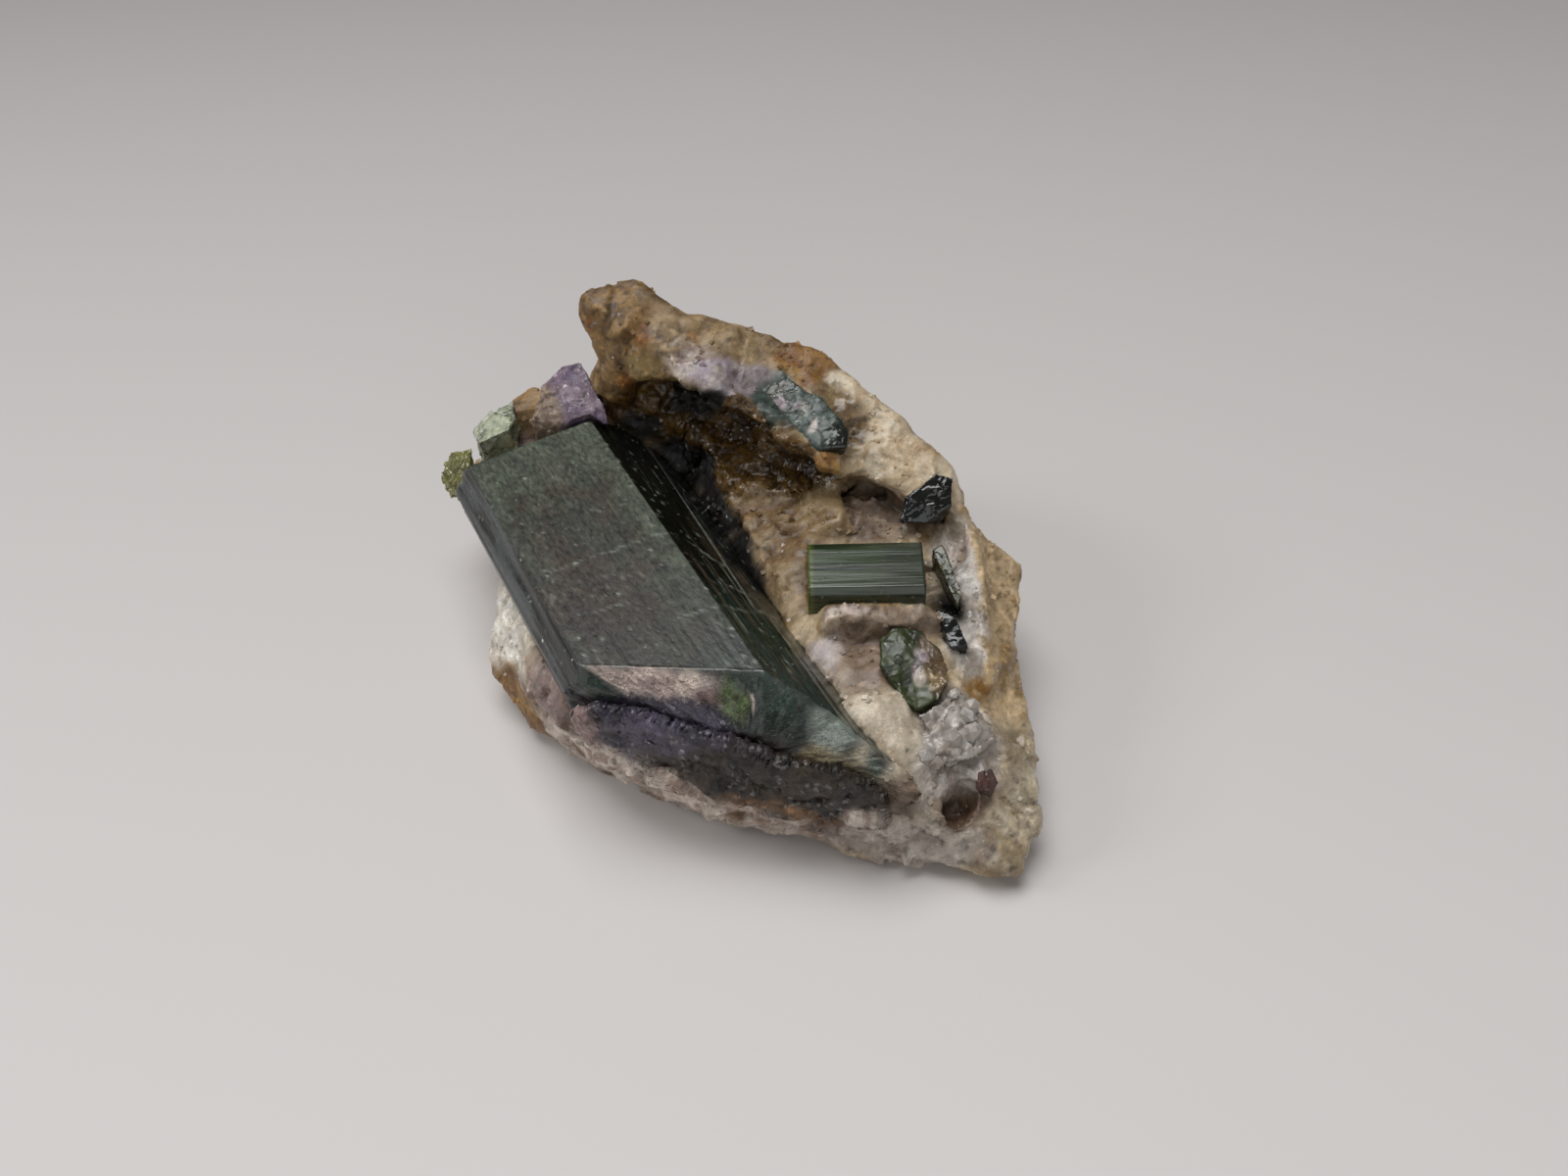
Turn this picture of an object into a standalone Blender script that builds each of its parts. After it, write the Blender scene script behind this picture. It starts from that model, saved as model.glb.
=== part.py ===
"""A verdelite tourmaline specimen: green prisms in a block of feldspar, lepidolite and quartz.

The block is a loose, hand-trimmed piece of pegmatite, about 30 mm across, that rests on a flat base.
Every size below is in millimetres, in the specimen's own frame: X to the right, Y to the back, Z up.
"""

import math

import bmesh
import bpy
from mathutils import Matrix, Vector, noise

MM = 0.001
GAP = 0.3  # clearance between a crystal and the pocket that it sits in
CUTTER_SIZE = 80.0  # side of a block that cuts along a plane

# The main prism lies level. Its axis is turned this far clockwise from +X, seen from above.
PRISM_TURN = math.radians(-66.8)
PRISM_TOP = 9.5
PRISM_BOTTOM = 3.6
PRISM_BACK_END = -8.8
PRISM_FRONT_END = 17.5

# How the broken rock is rounded, roughened and thinned.
ROCK_VOXEL = 0.26
ROCK_SWELL = 0.25
ROCK_GRAIN = 0.12
ROCK_CHIP_SIZE = 1.9
ROCK_CHIP_TILT = 0.4
ROCK_TRIANGLES = 5400

# Three far-apart places in the noise field, one for each component of a chip's lean.
LEAN_SHIFTS = [Vector((0.0, 0.0, 0.0)), Vector((31.7, 11.3, 5.9)), Vector((-17.1, 23.9, 41.3))]

# The bounding box of the finished specimen is centred on the origin by this move.
ORIGIN_MOVE = Vector((0.02, 3.79, 0.0))

COLOURS = {
    "feldspar": ((0.55, 0.47, 0.36), 0.6),
    "verdelite": ((0.05, 0.09, 0.06), 0.3),
    "olive_verdelite": ((0.09, 0.16, 0.08), 0.3),
    "pale_verdelite": ((0.30, 0.42, 0.32), 0.35),
    "lepidolite": ((0.30, 0.22, 0.34), 0.45),
    "quartz": ((0.70, 0.68, 0.66), 0.25),
    "garnet": ((0.25, 0.12, 0.10), 0.3),
}


def clear_scene():
    """Removes what the startup file holds."""
    for old in list(bpy.data.objects):
        bpy.data.objects.remove(old)


def new_collection(name):
    made = bpy.data.collections.new(name)
    bpy.context.scene.collection.children.link(made)
    return made


def material(name):
    """One Principled material for each mineral."""
    found = bpy.data.materials.get(name)
    if found:
        return found
    colour, roughness = COLOURS[name]
    made = bpy.data.materials.new(name)
    made.use_nodes = True
    shader = made.node_tree.nodes["Principled BSDF"]
    shader.inputs["Base Color"].default_value = (*colour, 1.0)
    shader.inputs["Roughness"].default_value = roughness
    shader.inputs["Metallic"].default_value = 0.0
    return made


def add_object(name, mesh, collection, mineral=None):
    made = bpy.data.objects.new(name, mesh)
    collection.objects.link(made)
    if mineral:
        made.data.materials.append(material(mineral))
    return made


def hull_mesh(name, corners):
    """The convex block whose corners these are, in metres."""
    shape = bmesh.new()
    for corner in corners:
        shape.verts.new(Vector(corner) * MM)
    hull = bmesh.ops.convex_hull(shape, input=shape.verts)
    inside = set(hull["geom_interior"]) | set(hull["geom_unused"])
    loose = [item for item in inside if isinstance(item, bmesh.types.BMVert)]
    bmesh.ops.delete(shape, geom=loose, context="VERTS")
    bmesh.ops.recalc_face_normals(shape, faces=shape.faces)
    mesh = bpy.data.meshes.new(name)
    shape.to_mesh(mesh)
    shape.free()
    return mesh


def hull_cutter(name, corners, helpers):
    """A convex cutter."""
    cutter = add_object(name, hull_mesh(name, corners), helpers)
    cutter.hide_render = True
    cutter.display_type = "WIRE"
    return cutter


def half_space(name, point, outward, helpers):
    """A block that holds everything beyond a plane. Its own face lies on the plane."""
    bpy.ops.mesh.primitive_cube_add(size=CUTTER_SIZE * MM)
    block = bpy.context.active_object
    block.name = name
    for collection in list(block.users_collection):
        collection.objects.unlink(block)
    helpers.objects.link(block)
    outward = Vector(outward).normalized()
    turn = outward.to_track_quat("Z", "Y").to_matrix().to_4x4()
    centre = Vector(point) + outward * 0.5 * CUTTER_SIZE
    block.data.transform(Matrix.Translation(centre * MM) @ turn)
    block.hide_render = True
    block.display_type = "WIRE"
    return block


def pocket_for(crystal, helpers, clearance=GAP):
    """A cutter that follows a crystal's convex outline, grown by the clearance on every side."""
    sphere = bmesh.new()
    bmesh.ops.create_icosphere(sphere, subdivisions=1, radius=1.25 * clearance)
    reach = [vertex.co.copy() for vertex in sphere.verts]
    sphere.free()
    around = [vertex.co / MM + step for vertex in crystal.data.vertices for step in reach]
    return hull_cutter("pocket_" + crystal.name, around, helpers)


def cut(body, cutter):
    """Takes the cutter's shape out of the body."""
    boolean = body.modifiers.new("cut_" + cutter.name, "BOOLEAN")
    boolean.operation = "DIFFERENCE"
    boolean.solver = "EXACT"
    boolean.object = cutter


def baked(body):
    """Applies the body's modifiers, so that its mesh is the final one."""
    graph = bpy.context.evaluated_depsgraph_get()
    mesh = bpy.data.meshes.new_from_object(body.evaluated_get(graph))
    body.modifiers.clear()
    body.data = mesh
    return body


def roughen(mesh, swell, grain, seed):
    """Moves each vertex along its normal: broad swells, then a finer broken grain."""
    offset = Vector((seed, 2.0 * seed, -seed))
    normals = [vertex.normal.copy() for vertex in mesh.vertices]
    for vertex, normal in zip(mesh.vertices, normals):
        place = vertex.co / MM
        broad = noise.noise(place * 0.45 + offset)
        fine = noise.noise(place * 1.4 - offset)
        vertex.co += normal * (swell * broad + grain * fine) * MM


def chip_faces(mesh, size, tilt):
    """Breaks the skin into flat chips of about this size, each tilted its own way."""
    normals = [vertex.normal.copy() for vertex in mesh.vertices]
    for vertex, normal in zip(mesh.vertices, normals):
        place = vertex.co / MM / size
        centre = noise.voronoi(place)[1][0]
        lean = Vector([noise.noise(centre * 5.7 + shift) for shift in LEAN_SHIFTS])
        vertex.co += normal * tilt * size * lean.dot(place - centre) * MM


def subdivide(mesh, cuts):
    """Splits the faces of a block, so that it can be roughened."""
    shape = bmesh.new()
    shape.from_mesh(mesh)
    bmesh.ops.triangulate(shape, faces=shape.faces)
    bmesh.ops.subdivide_edges(shape, edges=shape.edges, cuts=cuts, use_grid_fill=True)
    bmesh.ops.triangulate(shape, faces=shape.faces)
    shape.to_mesh(mesh)
    shape.free()


def rough_block(name, corners, mineral, model, cuts=2, swell=0.12, grain=0.08, seed=1.0, tilt=0.0):
    """A convex lump of one mineral with an uneven broken surface."""
    mesh = hull_mesh(name, corners)
    subdivide(mesh, cuts)
    chip_faces(mesh, ROCK_CHIP_SIZE, tilt)
    roughen(mesh, swell, grain, seed)
    return add_object(name, mesh, model, mineral)


# The matrix: the chips of rock that the trimmed block is made of. Each is a convex block.

WEST_BODY = [
    (-10.3, -4.5, -0.6), (-7.0, -8.8, -0.6), (0.5, -12.3, -0.6), (6.0, -14.3, -0.6),
    (6.0, 9.0, -0.6), (-6.0, 9.0, -0.6), (-11.0, 6.0, -0.6), (-11.0, 1.0, -0.6),
    (-12.1, -4.3, 1.8), (-11.2, -6.2, 1.5), (-9.0, -8.3, 1.2), (-6.4, -10.6, 1.0),
    (-0.8, -13.6, 1.0), (6.0, -16.2, 1.0), (-11.4, -1.5, 5.0), (-9.6, -7.0, 5.8),
    (-6.9, -11.2, 7.0), (0.0, -13.4, 7.2), (6.2, -15.4, 6.4), (6.0, 8.0, 7.0),
    (-6.0, 9.3, 7.5), (-12.2, 6.3, 5.6), (-11.6, 2.0, 5.2),
]
EAST_BODY = [
    (4.0, -14.0, -0.6), (9.5, -15.8, -0.6), (11.8, -14.0, -0.6), (12.3, -6.0, -0.6),
    (12.3, -1.0, -0.6), (9.0, 7.0, -0.6), (4.0, 9.0, -0.6), (4.9, -15.9, 1.0),
    (8.4, -17.0, 1.0), (12.4, -18.3, 1.0), (13.9, -13.8, 2.5), (13.3, -11.9, 3.3),
    (13.0, -9.7, 4.2), (14.0, -5.2, 4.6), (14.6, -3.1, 5.2), (13.5, 0.0, 5.0),
    (5.5, -11.0, 6.6), (6.5, -15.2, 5.4), (9.5, -11.5, 5.6), (11.0, -9.0, 5.5),
    (12.5, -5.0, 6.0), (4.0, -6.0, 6.4), (4.0, 8.0, 7.0), (12.4, 0.1, 7.0), (9.0, 6.5, 7.0),
]
FRONT_TIP = [
    (12.4, -18.3, 1.0), (12.9, -16.3, 2.2), (13.7, -14.1, 3.1), (11.2, -14.7, 3.9),
    (8.6, -16.2, 2.4), (8.4, -17.0, 1.0), (11.1, -12.5, 5.4), (13.2, -12.5, 4.0),
    (11.0, -15.5, -0.4), (12.4, -13.0, 0.0), (9.0, -13.0, 0.0),
]
PRISM_SHELF = [
    (3.4, -2.4, 7.3), (10.0, -3.2, 7.3), (10.2, -7.4, 6.7), (4.2, -7.6, 6.9),
    (6.5, 1.0, 7.7), (3.2, 0.4, 7.9), (9.8, 0.0, 7.5), (3.0, -2.0, 4.0),
    (10.4, -3.0, 4.0), (10.4, -8.5, 4.0), (4.0, -8.5, 4.0), (3.0, 1.0, 4.0), (10.0, 1.0, 4.0),
]
CREAM_RIDGE = [
    (12.6, -0.2, 8.6), (12.0, 0.5, 10.0), (11.1, 1.1, 10.5), (9.2, 3.3, 11.5),
    (7.4, 4.9, 12.5), (5.5, 6.8, 13.0), (11.8, -1.8, 7.6), (9.3, -0.4, 8.3),
    (7.6, 0.4, 9.2), (6.6, 0.2, 9.8), (4.0, 3.5, 10.5), (12.8, 3.0, 4.5),
    (11.0, 6.5, 4.5), (8.5, 9.0, 4.5), (4.5, 10.2, 4.5), (4.5, 9.0, 11.0),
]
CREST_PLATE = [
    (-6.6, 9.3, 16.1), (-4.9, 10.1, 16.2), (-3.5, 10.1, 15.8), (-1.0, 9.2, 14.7),
    (1.3, 8.6, 13.6), (3.1, 7.8, 13.1), (5.2, 6.9, 13.0), (-2.7, 5.5, 12.7),
    (-1.0, 5.4, 12.9), (0.1, 4.6, 12.6), (1.7, 3.3, 12.0), (3.8, 1.5, 11.5),
    (5.3, 0.6, 11.0), (6.7, -0.7, 10.4), (-4.0, 6.4, 11.6), (-0.5, 5.6, 11.6),
    (2.0, 4.2, 10.8), (6.2, 0.5, 9.6), (-6.1, 8.6, 12.4), (-1.0, 10.2, 11.0), (4.0, 9.2, 9.5),
]
CREST_ROOT = [
    (-5.7, 8.2, 12.2), (-5.2, 7.2, 10.6), (-3.4, 6.3, 9.2), (-1.9, 6.0, 8.7),
    (0.5, 5.4, 8.4), (-3.2, 6.2, 12.2), (0.0, 5.6, 11.9), (-6.0, 9.3, 12.0),
    (-6.3, 9.6, 7.0), (4.0, 9.3, 7.0), (4.0, 8.6, 12.0), (1.5, 5.0, 11.0),
]
CREST_KNUCKLE = [
    (1.7, 3.5, 11.4), (3.8, 1.8, 10.9), (6.3, -0.2, 9.9), (-1.0, 5.3, 10.3),
    (-0.6, 4.8, 8.3), (0.3, 3.1, 7.9), (2.0, 1.5, 7.3), (3.5, 0.8, 7.0),
    (6.3, 0.5, 8.8), (5.0, 1.6, 7.2), (4.0, 6.0, 7.0), (0.0, 8.0, 7.0), (4.0, 7.0, 11.0),
    (8.0, 2.0, 8.6),
]
NORTH_WEST_SHELF = [
    (-11.6, 6.3, -0.2), (-12.4, 4.2, 2.4), (-6.0, 9.6, -0.2), (-13.0, 6.0, 5.4),
    (-12.3, 4.0, 5.6), (-9.5, 9.6, 7.4), (-6.0, 9.8, 8.2), (-5.5, 7.5, 8.2),
    (-12.0, 8.0, 6.4), (-10.2, 9.8, 7.0), (-14.1, 7.6, 5.4), (-13.7, 8.3, 6.2), (-13.2, 7.6, 3.6),
]
KNOB = [
    (-10.6, 10.0, 9.6), (-9.6, 10.2, 10.1), (-9.0, 9.6, 9.9), (-9.6, 8.3, 9.2),
    (-10.3, 8.4, 8.9), (-10.9, 10.2, 6.6), (-9.0, 10.2, 6.6), (-9.0, 8.6, 6.6),
    (-10.6, 8.4, 6.6),
]
LEFT_LUMP = [
    (-11.5, -0.9, 5.0), (-12.0, -2.6, 4.2), (-12.5, -3.1, 3.2), (-12.3, -4.2, 2.0),
    (-11.3, -6.2, 1.4), (-10.0, -5.0, 5.4), (-10.0, -1.0, 5.4), (-11.0, -0.6, 1.5),
    (-11.2, -4.0, 0.4),
]
RIGHT_BLADES = [
    (12.2, -2.3, 8.0), (12.4, -0.8, 8.6), (13.1, -1.8, 7.6), (14.1, -3.1, 6.5),
    (14.9, -3.2, 6.0), (14.2, -5.0, 5.2), (13.1, -8.5, 5.3), (11.9, -9.0, 5.9),
    (11.4, -5.9, 7.2), (12.0, -2.0, 4.0), (14.0, -4.0, 4.0), (12.8, -8.5, 4.0), (11.5, -8.0, 4.0),
]
EDGE_PLATE = [
    (12.3, -1.2, 8.2), (12.7, -1.6, 8.0), (12.9, -4.2, 7.7), (12.6, -7.6, 6.7), (12.1, -10.8, 5.5),
    (11.7, -10.6, 5.6), (12.1, -7.6, 6.9), (12.2, -3.0, 8.0), (12.9, -1.6, 4.0), (12.2, -10.6, 3.6),
    (11.7, -10.4, 3.6), (12.0, -1.6, 4.0),
]
OUTER_PLATE = [
    (13.4, -2.4, 7.3), (15.3, -3.1, 6.2), (14.2, -6.3, 5.1), (13.3, -9.0, 4.7), (12.9, -9.2, 5.1),
    (13.2, -5.6, 6.0), (13.1, -9.0, 3.0), (14.2, -3.4, 3.2), (13.0, -2.8, 3.2), (12.6, -8.8, 3.0),
]
RUSTY_BLOCK = [
    (3.7, 6.4, 13.1), (4.9, 7.4, 13.3), (6.4, 6.9, 12.8), (7.0, 5.9, 12.3), (6.4, 5.0, 11.9),
    (3.9, 5.2, 12.3), (4.0, 7.0, 10.0), (7.0, 6.6, 10.0), (6.6, 4.8, 10.0), (4.0, 5.0, 10.0),
]
RIDGE_LUMP = [
    (7.5, 2.6, 11.2), (9.3, 2.6, 11.2), (11.0, 1.0, 10.3), (12.2, -0.2, 9.6), (10.4, -0.3, 9.7),
    (8.4, -0.3, 9.7), (7.0, 0.6, 9.9), (7.2, 0.6, 8.9), (12.0, -0.4, 8.6), (9.0, -0.4, 8.8),
    (9.0, 4.0, 8.0), (12.0, 2.0, 8.0),
]
SMOOTH_LUMP = [
    (3.3, 1.0, 8.4), (5.1, 1.1, 8.9), (6.5, 0.3, 8.8), (5.9, -1.5, 8.4), (3.9, -1.3, 8.0),
    (2.7, -0.2, 7.9), (3.0, 1.2, 6.0), (6.6, 0.6, 6.0), (6.2, -1.8, 6.0), (3.4, -1.6, 6.0),
]
CREAM_BLOCK = [
    (5.2, -11.2, 7.3), (7.0, -11.3, 7.1), (7.7, -14.3, 5.8), (6.5, -15.2, 5.8),
    (4.9, -13.0, 7.1), (5.0, -10.5, 4.5), (8.0, -11.0, 4.5), (8.0, -14.5, 4.0), (5.0, -14.8, 4.0),
]
MATRIX_CHIPS = [
    WEST_BODY, EAST_BODY, FRONT_TIP, PRISM_SHELF, CREAM_RIDGE, CREST_PLATE, CREST_ROOT,
    CREST_KNUCKLE, NORTH_WEST_SHELF, KNOB, LEFT_LUMP, RIGHT_BLADES, EDGE_PLATE, OUTER_PLATE,
    RUSTY_BLOCK, RIDGE_LUMP, SMOOTH_LUMP, CREAM_BLOCK,
]

# The front and left edge is split into thin layers. Each follows this line, seen from above,
# stepped in and up from the one below it.
RIM_LINE = [
    (-12.2, -3.6), (-11.4, -6.2), (-9.2, -8.4), (-6.3, -10.7), (-3.0, -12.4), (0.6, -14.2),
    (4.9, -15.9), (8.4, -16.9),
]
LAYER_HEIGHTS = [0.9, 2.0, 3.1, 4.2]
LAYER_STEP_IN = 0.42
LAYER_THICKNESS = 0.6
LAYER_DEPTH = 2.6

# The hollows. The longest runs below the lip of the crest, and the dark cavern goes in behind it.
CREST_HOLLOW = [
    (-4.9, 5.1, 12.0), (-2.8, 5.3, 12.7), (-1.0, 4.8, 12.8), (0.4, 4.1, 12.4), (2.0, 2.8, 11.8),
    (4.2, 1.0, 11.0), (6.2, -0.9, 9.8), (-4.0, 7.5, 11.5), (-1.0, 7.9, 11.8), (2.0, 6.6, 11.1),
    (4.6, 3.9, 10.3), (6.5, 1.4, 9.5), (-4.4, 7.2, 9.4), (-1.2, 7.2, 8.9), (1.6, 5.6, 8.4),
    (4.6, 3.0, 8.2), (6.4, 0.9, 8.5), (-5.2, 3.6, 8.7), (0.0, 1.6, 7.9), (4.2, -1.0, 7.9),
    (6.2, -1.6, 8.5),
]
CAVERN = [
    (-1.6, 5.6, 12.0), (0.9, 4.5, 12.0), (2.0, 3.7, 11.4), (-1.4, 5.2, 10.3), (1.1, 3.6, 10.2),
    (-1.1, 9.0, 11.7), (1.0, 8.6, 11.6), (1.8, 7.9, 10.8), (-0.8, 8.8, 10.3), (1.0, 8.2, 10.1),
]
MAUVE_HOLLOW = [
    (6.7, 0.2, 9.2), (9.4, -0.1, 9.2), (6.6, -1.7, 9.4), (9.0, -2.0, 9.4), (7.0, 0.9, 8.3),
    (9.2, 0.6, 8.3), (6.7, -1.7, 7.4), (8.9, -1.9, 7.4),
]
TROUGH = [
    (4.9, -7.1, 8.4), (9.3, -7.5, 8.2), (4.9, -8.6, 8.0), (9.3, -9.0, 7.8), (5.1, -7.1, 6.3),
    (9.1, -7.5, 6.1), (5.0, -8.4, 6.5), (9.2, -8.8, 6.3),
]
HOLLOWS = [CREST_HOLLOW, CAVERN, MAUVE_HOLLOW, TROUGH]

# The small open pit in the quartz at the front right.
PIT = [
    (8.9, -15.2, 3.0), (10.2, -14.3, 3.0), (10.3, -15.6, 2.4), (9.4, -16.3, 2.4),
    (9.0, -17.0, 5.5), (11.0, -15.5, 5.5), (10.2, -14.0, 5.5), (8.6, -14.9, 5.5),
]


def keep_largest_piece(body):
    """Lets go of the slivers of rock that the pockets cut loose."""
    shape = bmesh.new()
    shape.from_mesh(body.data)
    left = set(shape.verts)
    pieces = []
    while left:
        edge_of_piece = [left.pop()]
        piece = list(edge_of_piece)
        while edge_of_piece:
            vertex = edge_of_piece.pop()
            near = {edge.other_vert(vertex) for edge in vertex.link_edges} & left
            left -= near
            piece.extend(near)
            edge_of_piece.extend(near)
        pieces.append(piece)
    pieces.sort(key=len)
    for piece in pieces[:-1]:
        bmesh.ops.delete(shape, geom=piece, context="VERTS")
    shape.to_mesh(body.data)
    shape.free()


def rim_layers():
    """The thin layers of the front edge, one short convex slab for each stretch of the rim."""
    middle = Vector((0.0, -3.0))
    slabs = []
    for level, height in enumerate(LAYER_HEIGHTS):
        outer = []
        for corner in RIM_LINE:
            inward = (middle - Vector(corner)).normalized()
            ripple = 0.5 + 0.5 * noise.noise(Vector((*corner, 3.1 * height)))
            outer.append((Vector(corner) + inward * LAYER_STEP_IN * (level + ripple), inward))
        for (start, start_in), (end, end_in) in zip(outer, outer[1:]):
            ring = [start, end, end + end_in * LAYER_DEPTH, start + start_in * LAYER_DEPTH]
            lift = 0.25 * noise.noise(Vector((*start, height)))
            slab = [(*point, height + lift) for point in ring]
            slab += [(*point, height + lift + LAYER_THICKNESS) for point in ring]
            slabs.append(slab)
    return slabs


def fuse_chips(name, chips, helpers):
    """Joins overlapping chips into one closed skin, rounded at the joins by the voxel size."""
    shape = bmesh.new()
    for corners in chips:
        block = hull_mesh("chip", corners)
        shape.from_mesh(block)
        bpy.data.meshes.remove(block)
    mesh = bpy.data.meshes.new(name)
    shape.to_mesh(mesh)
    shape.free()
    body = add_object(name, mesh, helpers)
    fuse_skin(body)
    return baked(body)


def fuse_skin(body):
    """Adds the remesh that turns overlapping shapes into one even skin."""
    fusing = body.modifiers.new("fuse", "REMESH")
    fusing.mode = "VOXEL"
    fusing.voxel_size = ROCK_VOXEL * MM


def thin_out(body, triangles):
    """Reduces the skin to about this many triangles, which leaves flat facets and ridges."""
    body.data.calc_loop_triangles()
    thinning = body.modifiers.new("thin", "DECIMATE")
    thinning.ratio = triangles / len(body.data.loop_triangles)
    thinning.use_collapse_triangulate = True
    return baked(body)


def make_matrix(pockets, model, helpers):
    """The host rock, with its flat base, its pit and a pocket for each crystal."""
    rock = fuse_chips("matrix", MATRIX_CHIPS + rim_layers(), helpers)
    for corners in HOLLOWS:
        cut(rock, hull_cutter("hollow", corners, helpers))
    fuse_skin(rock)
    baked(rock)
    chip_faces(rock.data, ROCK_CHIP_SIZE, ROCK_CHIP_TILT)
    roughen(rock.data, ROCK_SWELL, ROCK_GRAIN, seed=3.7)
    fuse_skin(rock)
    thin_out(baked(rock), ROCK_TRIANGLES)
    helpers.objects.unlink(rock)
    model.objects.link(rock)
    rock.data.materials.append(material("feldspar"))
    saw = half_space("base_saw", (0.0, 0.0, 0.0), (0.0, 0.0, -1.0), helpers)
    for cutter in [saw, hull_cutter("pit", PIT, helpers), *pockets]:
        cut(rock, cutter)
    keep_largest_piece(baked(rock))
    return rock


# The main prism's cross-section, as (across, up). Across is measured to the right of its axis line.
PRISM_SECTION = [
    (-10.2, PRISM_TOP), (-3.2, PRISM_TOP), (-1.0, 7.9), (0.9, 5.4), (0.2, PRISM_BOTTOM),
    (-9.4, PRISM_BOTTOM), (-11.0, 6.3), (-11.15, 7.9),
]
STRIA_WIDTH = 0.55
STRIA_DEPTH = 0.05


def striated(section):
    """Adds fine grooves along the prism to each side of its section."""
    points = []
    for i, start in enumerate(section):
        end = section[(i + 1) % len(section)]
        along = Vector(end) - Vector(start)
        outward = Vector((along.y, -along.x)).normalized() * -1.0
        steps = max(1, round(along.length / STRIA_WIDTH))
        for k in range(steps):
            depth = STRIA_DEPTH if k % 2 else 0.0
            points.append(Vector(start) + along * (k / steps) - outward * depth)
    return points


def prism_along(section, back, front, turn):
    """Extrudes a section between two distances along a level axis turned by this angle."""
    axis = Vector((math.cos(turn), math.sin(turn), 0.0))
    across = Vector((-axis.y, axis.x, 0.0))
    shape = bmesh.new()
    ring = [shape.verts.new((across * p[0] + axis * back + Vector((0, 0, p[1]))) * MM) for p in section]
    cap = shape.faces.new(ring)
    pulled = bmesh.ops.extrude_face_region(shape, geom=[cap])
    moved = [item for item in pulled["geom"] if isinstance(item, bmesh.types.BMVert)]
    bmesh.ops.translate(shape, verts=moved, vec=axis * (front - back) * MM)
    bmesh.ops.recalc_face_normals(shape, faces=shape.faces)
    return shape


def finish_shape(shape, name, mineral, model):
    bmesh.ops.recalc_face_normals(shape, faces=shape.faces)
    mesh = bpy.data.meshes.new(name)
    shape.to_mesh(mesh)
    shape.free()
    return add_object(name, mesh, model, mineral)


# The planes that the main prism is broken along: a point on each, and the way it faces.
PRISM_BREAKS = [
    ((-6.4, -10.7, 8.0), (-0.34, -0.94, 0.0)),
    ((-6.0, -10.2, PRISM_TOP), (-0.12, -0.75, 0.65)),
    ((-9.0, 5.6, PRISM_TOP), (-0.35, 0.75, 0.55)),
]


def make_main_prism(model, helpers):
    """The large dark prism, broken off obliquely at the front of the block."""
    shape = prism_along(striated(PRISM_SECTION), PRISM_BACK_END, PRISM_FRONT_END, PRISM_TURN)
    prism = finish_shape(shape, "main_tourmaline", "verdelite", model)
    for point, outward in PRISM_BREAKS:
        cut(prism, half_space("prism_break", point, outward, helpers))
    return baked(prism)


def make_small_prism(model):
    """The short, clean, olive prism that lies across the shelf on the right."""
    section = [
        (-1.75, 7.1), (-1.55, 7.7), (-0.1, 8.75), (1.3, 8.75), (1.9, 7.9), (1.6, 6.6), (-1.3, 6.4),
    ]
    turn = math.radians(-5.5)
    shape = prism_along(section, -2.85, 2.75, turn)
    bmesh.ops.translate(shape, verts=shape.verts, vec=Vector((6.85, -4.75, 0.0)) * MM)
    return finish_shape(shape, "small_tourmaline_prism", "olive_verdelite", model)


def make_little_crystals(model):
    """The other tourmalines, each a broken crystal that shows at the surface."""
    crest = [
        (2.7, 4.6, 12.3), (4.0, 4.9, 12.7), (5.6, 3.4, 12.3), (6.7, 1.7, 11.6), (6.5, 0.9, 11.3),
        (5.2, 0.9, 11.4), (2.9, 4.0, 10.6), (4.2, 4.6, 10.6), (6.3, 1.8, 9.8), (5.3, 1.4, 9.8),
    ]
    rim = [
        (9.0, -1.8, 8.4), (9.3, -0.9, 9.2), (10.9, -0.2, 10.0), (11.8, -0.5, 9.9), (11.6, -1.6, 9.1),
        (10.2, -2.0, 8.3), (9.6, -0.6, 7.2), (11.4, 0.2, 7.6), (11.5, -1.0, 7.2),
    ]
    sliver = [
        (10.3, -3.6, 8.0), (10.8, -3.4, 8.2), (11.4, -6.2, 7.5), (11.0, -6.6, 7.2),
        (10.4, -3.8, 6.0), (11.0, -3.6, 6.0), (11.3, -6.2, 5.8),
    ]
    dark_end = [
        (10.0, -6.8, 7.2), (10.7, -7.2, 7.1), (11.2, -8.6, 6.6), (10.4, -8.6, 6.5),
        (10.0, -6.9, 5.4), (11.2, -8.4, 5.4),
    ]
    yellow = [
        (-14.3, 7.4, 7.5), (-15.1, 7.0, 6.5), (-14.6, 5.6, 5.9), (-13.8, 4.6, 6.3),
        (-13.1, 6.1, 8.0), (-13.2, 7.6, 7.6), (-13.0, 5.6, 4.6), (-13.6, 7.0, 4.6),
    ]
    pale = [
        (-13.0, 7.9, 8.6), (-11.6, 8.8, 9.3), (-10.7, 9.3, 9.4), (-10.4, 8.1, 9.2),
        (-10.9, 6.9, 9.2), (-12.6, 6.6, 8.7), (-12.8, 8.0, 6.4), (-10.8, 8.8, 6.4),
        (-11.0, 7.0, 6.4), (-12.6, 6.7, 6.4),
    ]
    made = [
        rough_block("crest_tourmaline", crest, "pale_verdelite", model, seed=4.0),
        rough_block("rim_tourmaline", rim, "verdelite", model, seed=5.0, swell=0.06, grain=0.05),
        rough_block("sliver_tourmaline", sliver, "olive_verdelite", model, cuts=1, seed=6.0),
        rough_block("dark_end_tourmaline", dark_end, "verdelite", model, cuts=1, seed=7.0),
        rough_block("yellow_green_tourmaline", yellow, "olive_verdelite", model, cuts=1, seed=8.0),
        rough_block("pale_tourmaline", pale, "pale_verdelite", model, cuts=1, seed=9.0),
    ]
    return made


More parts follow.
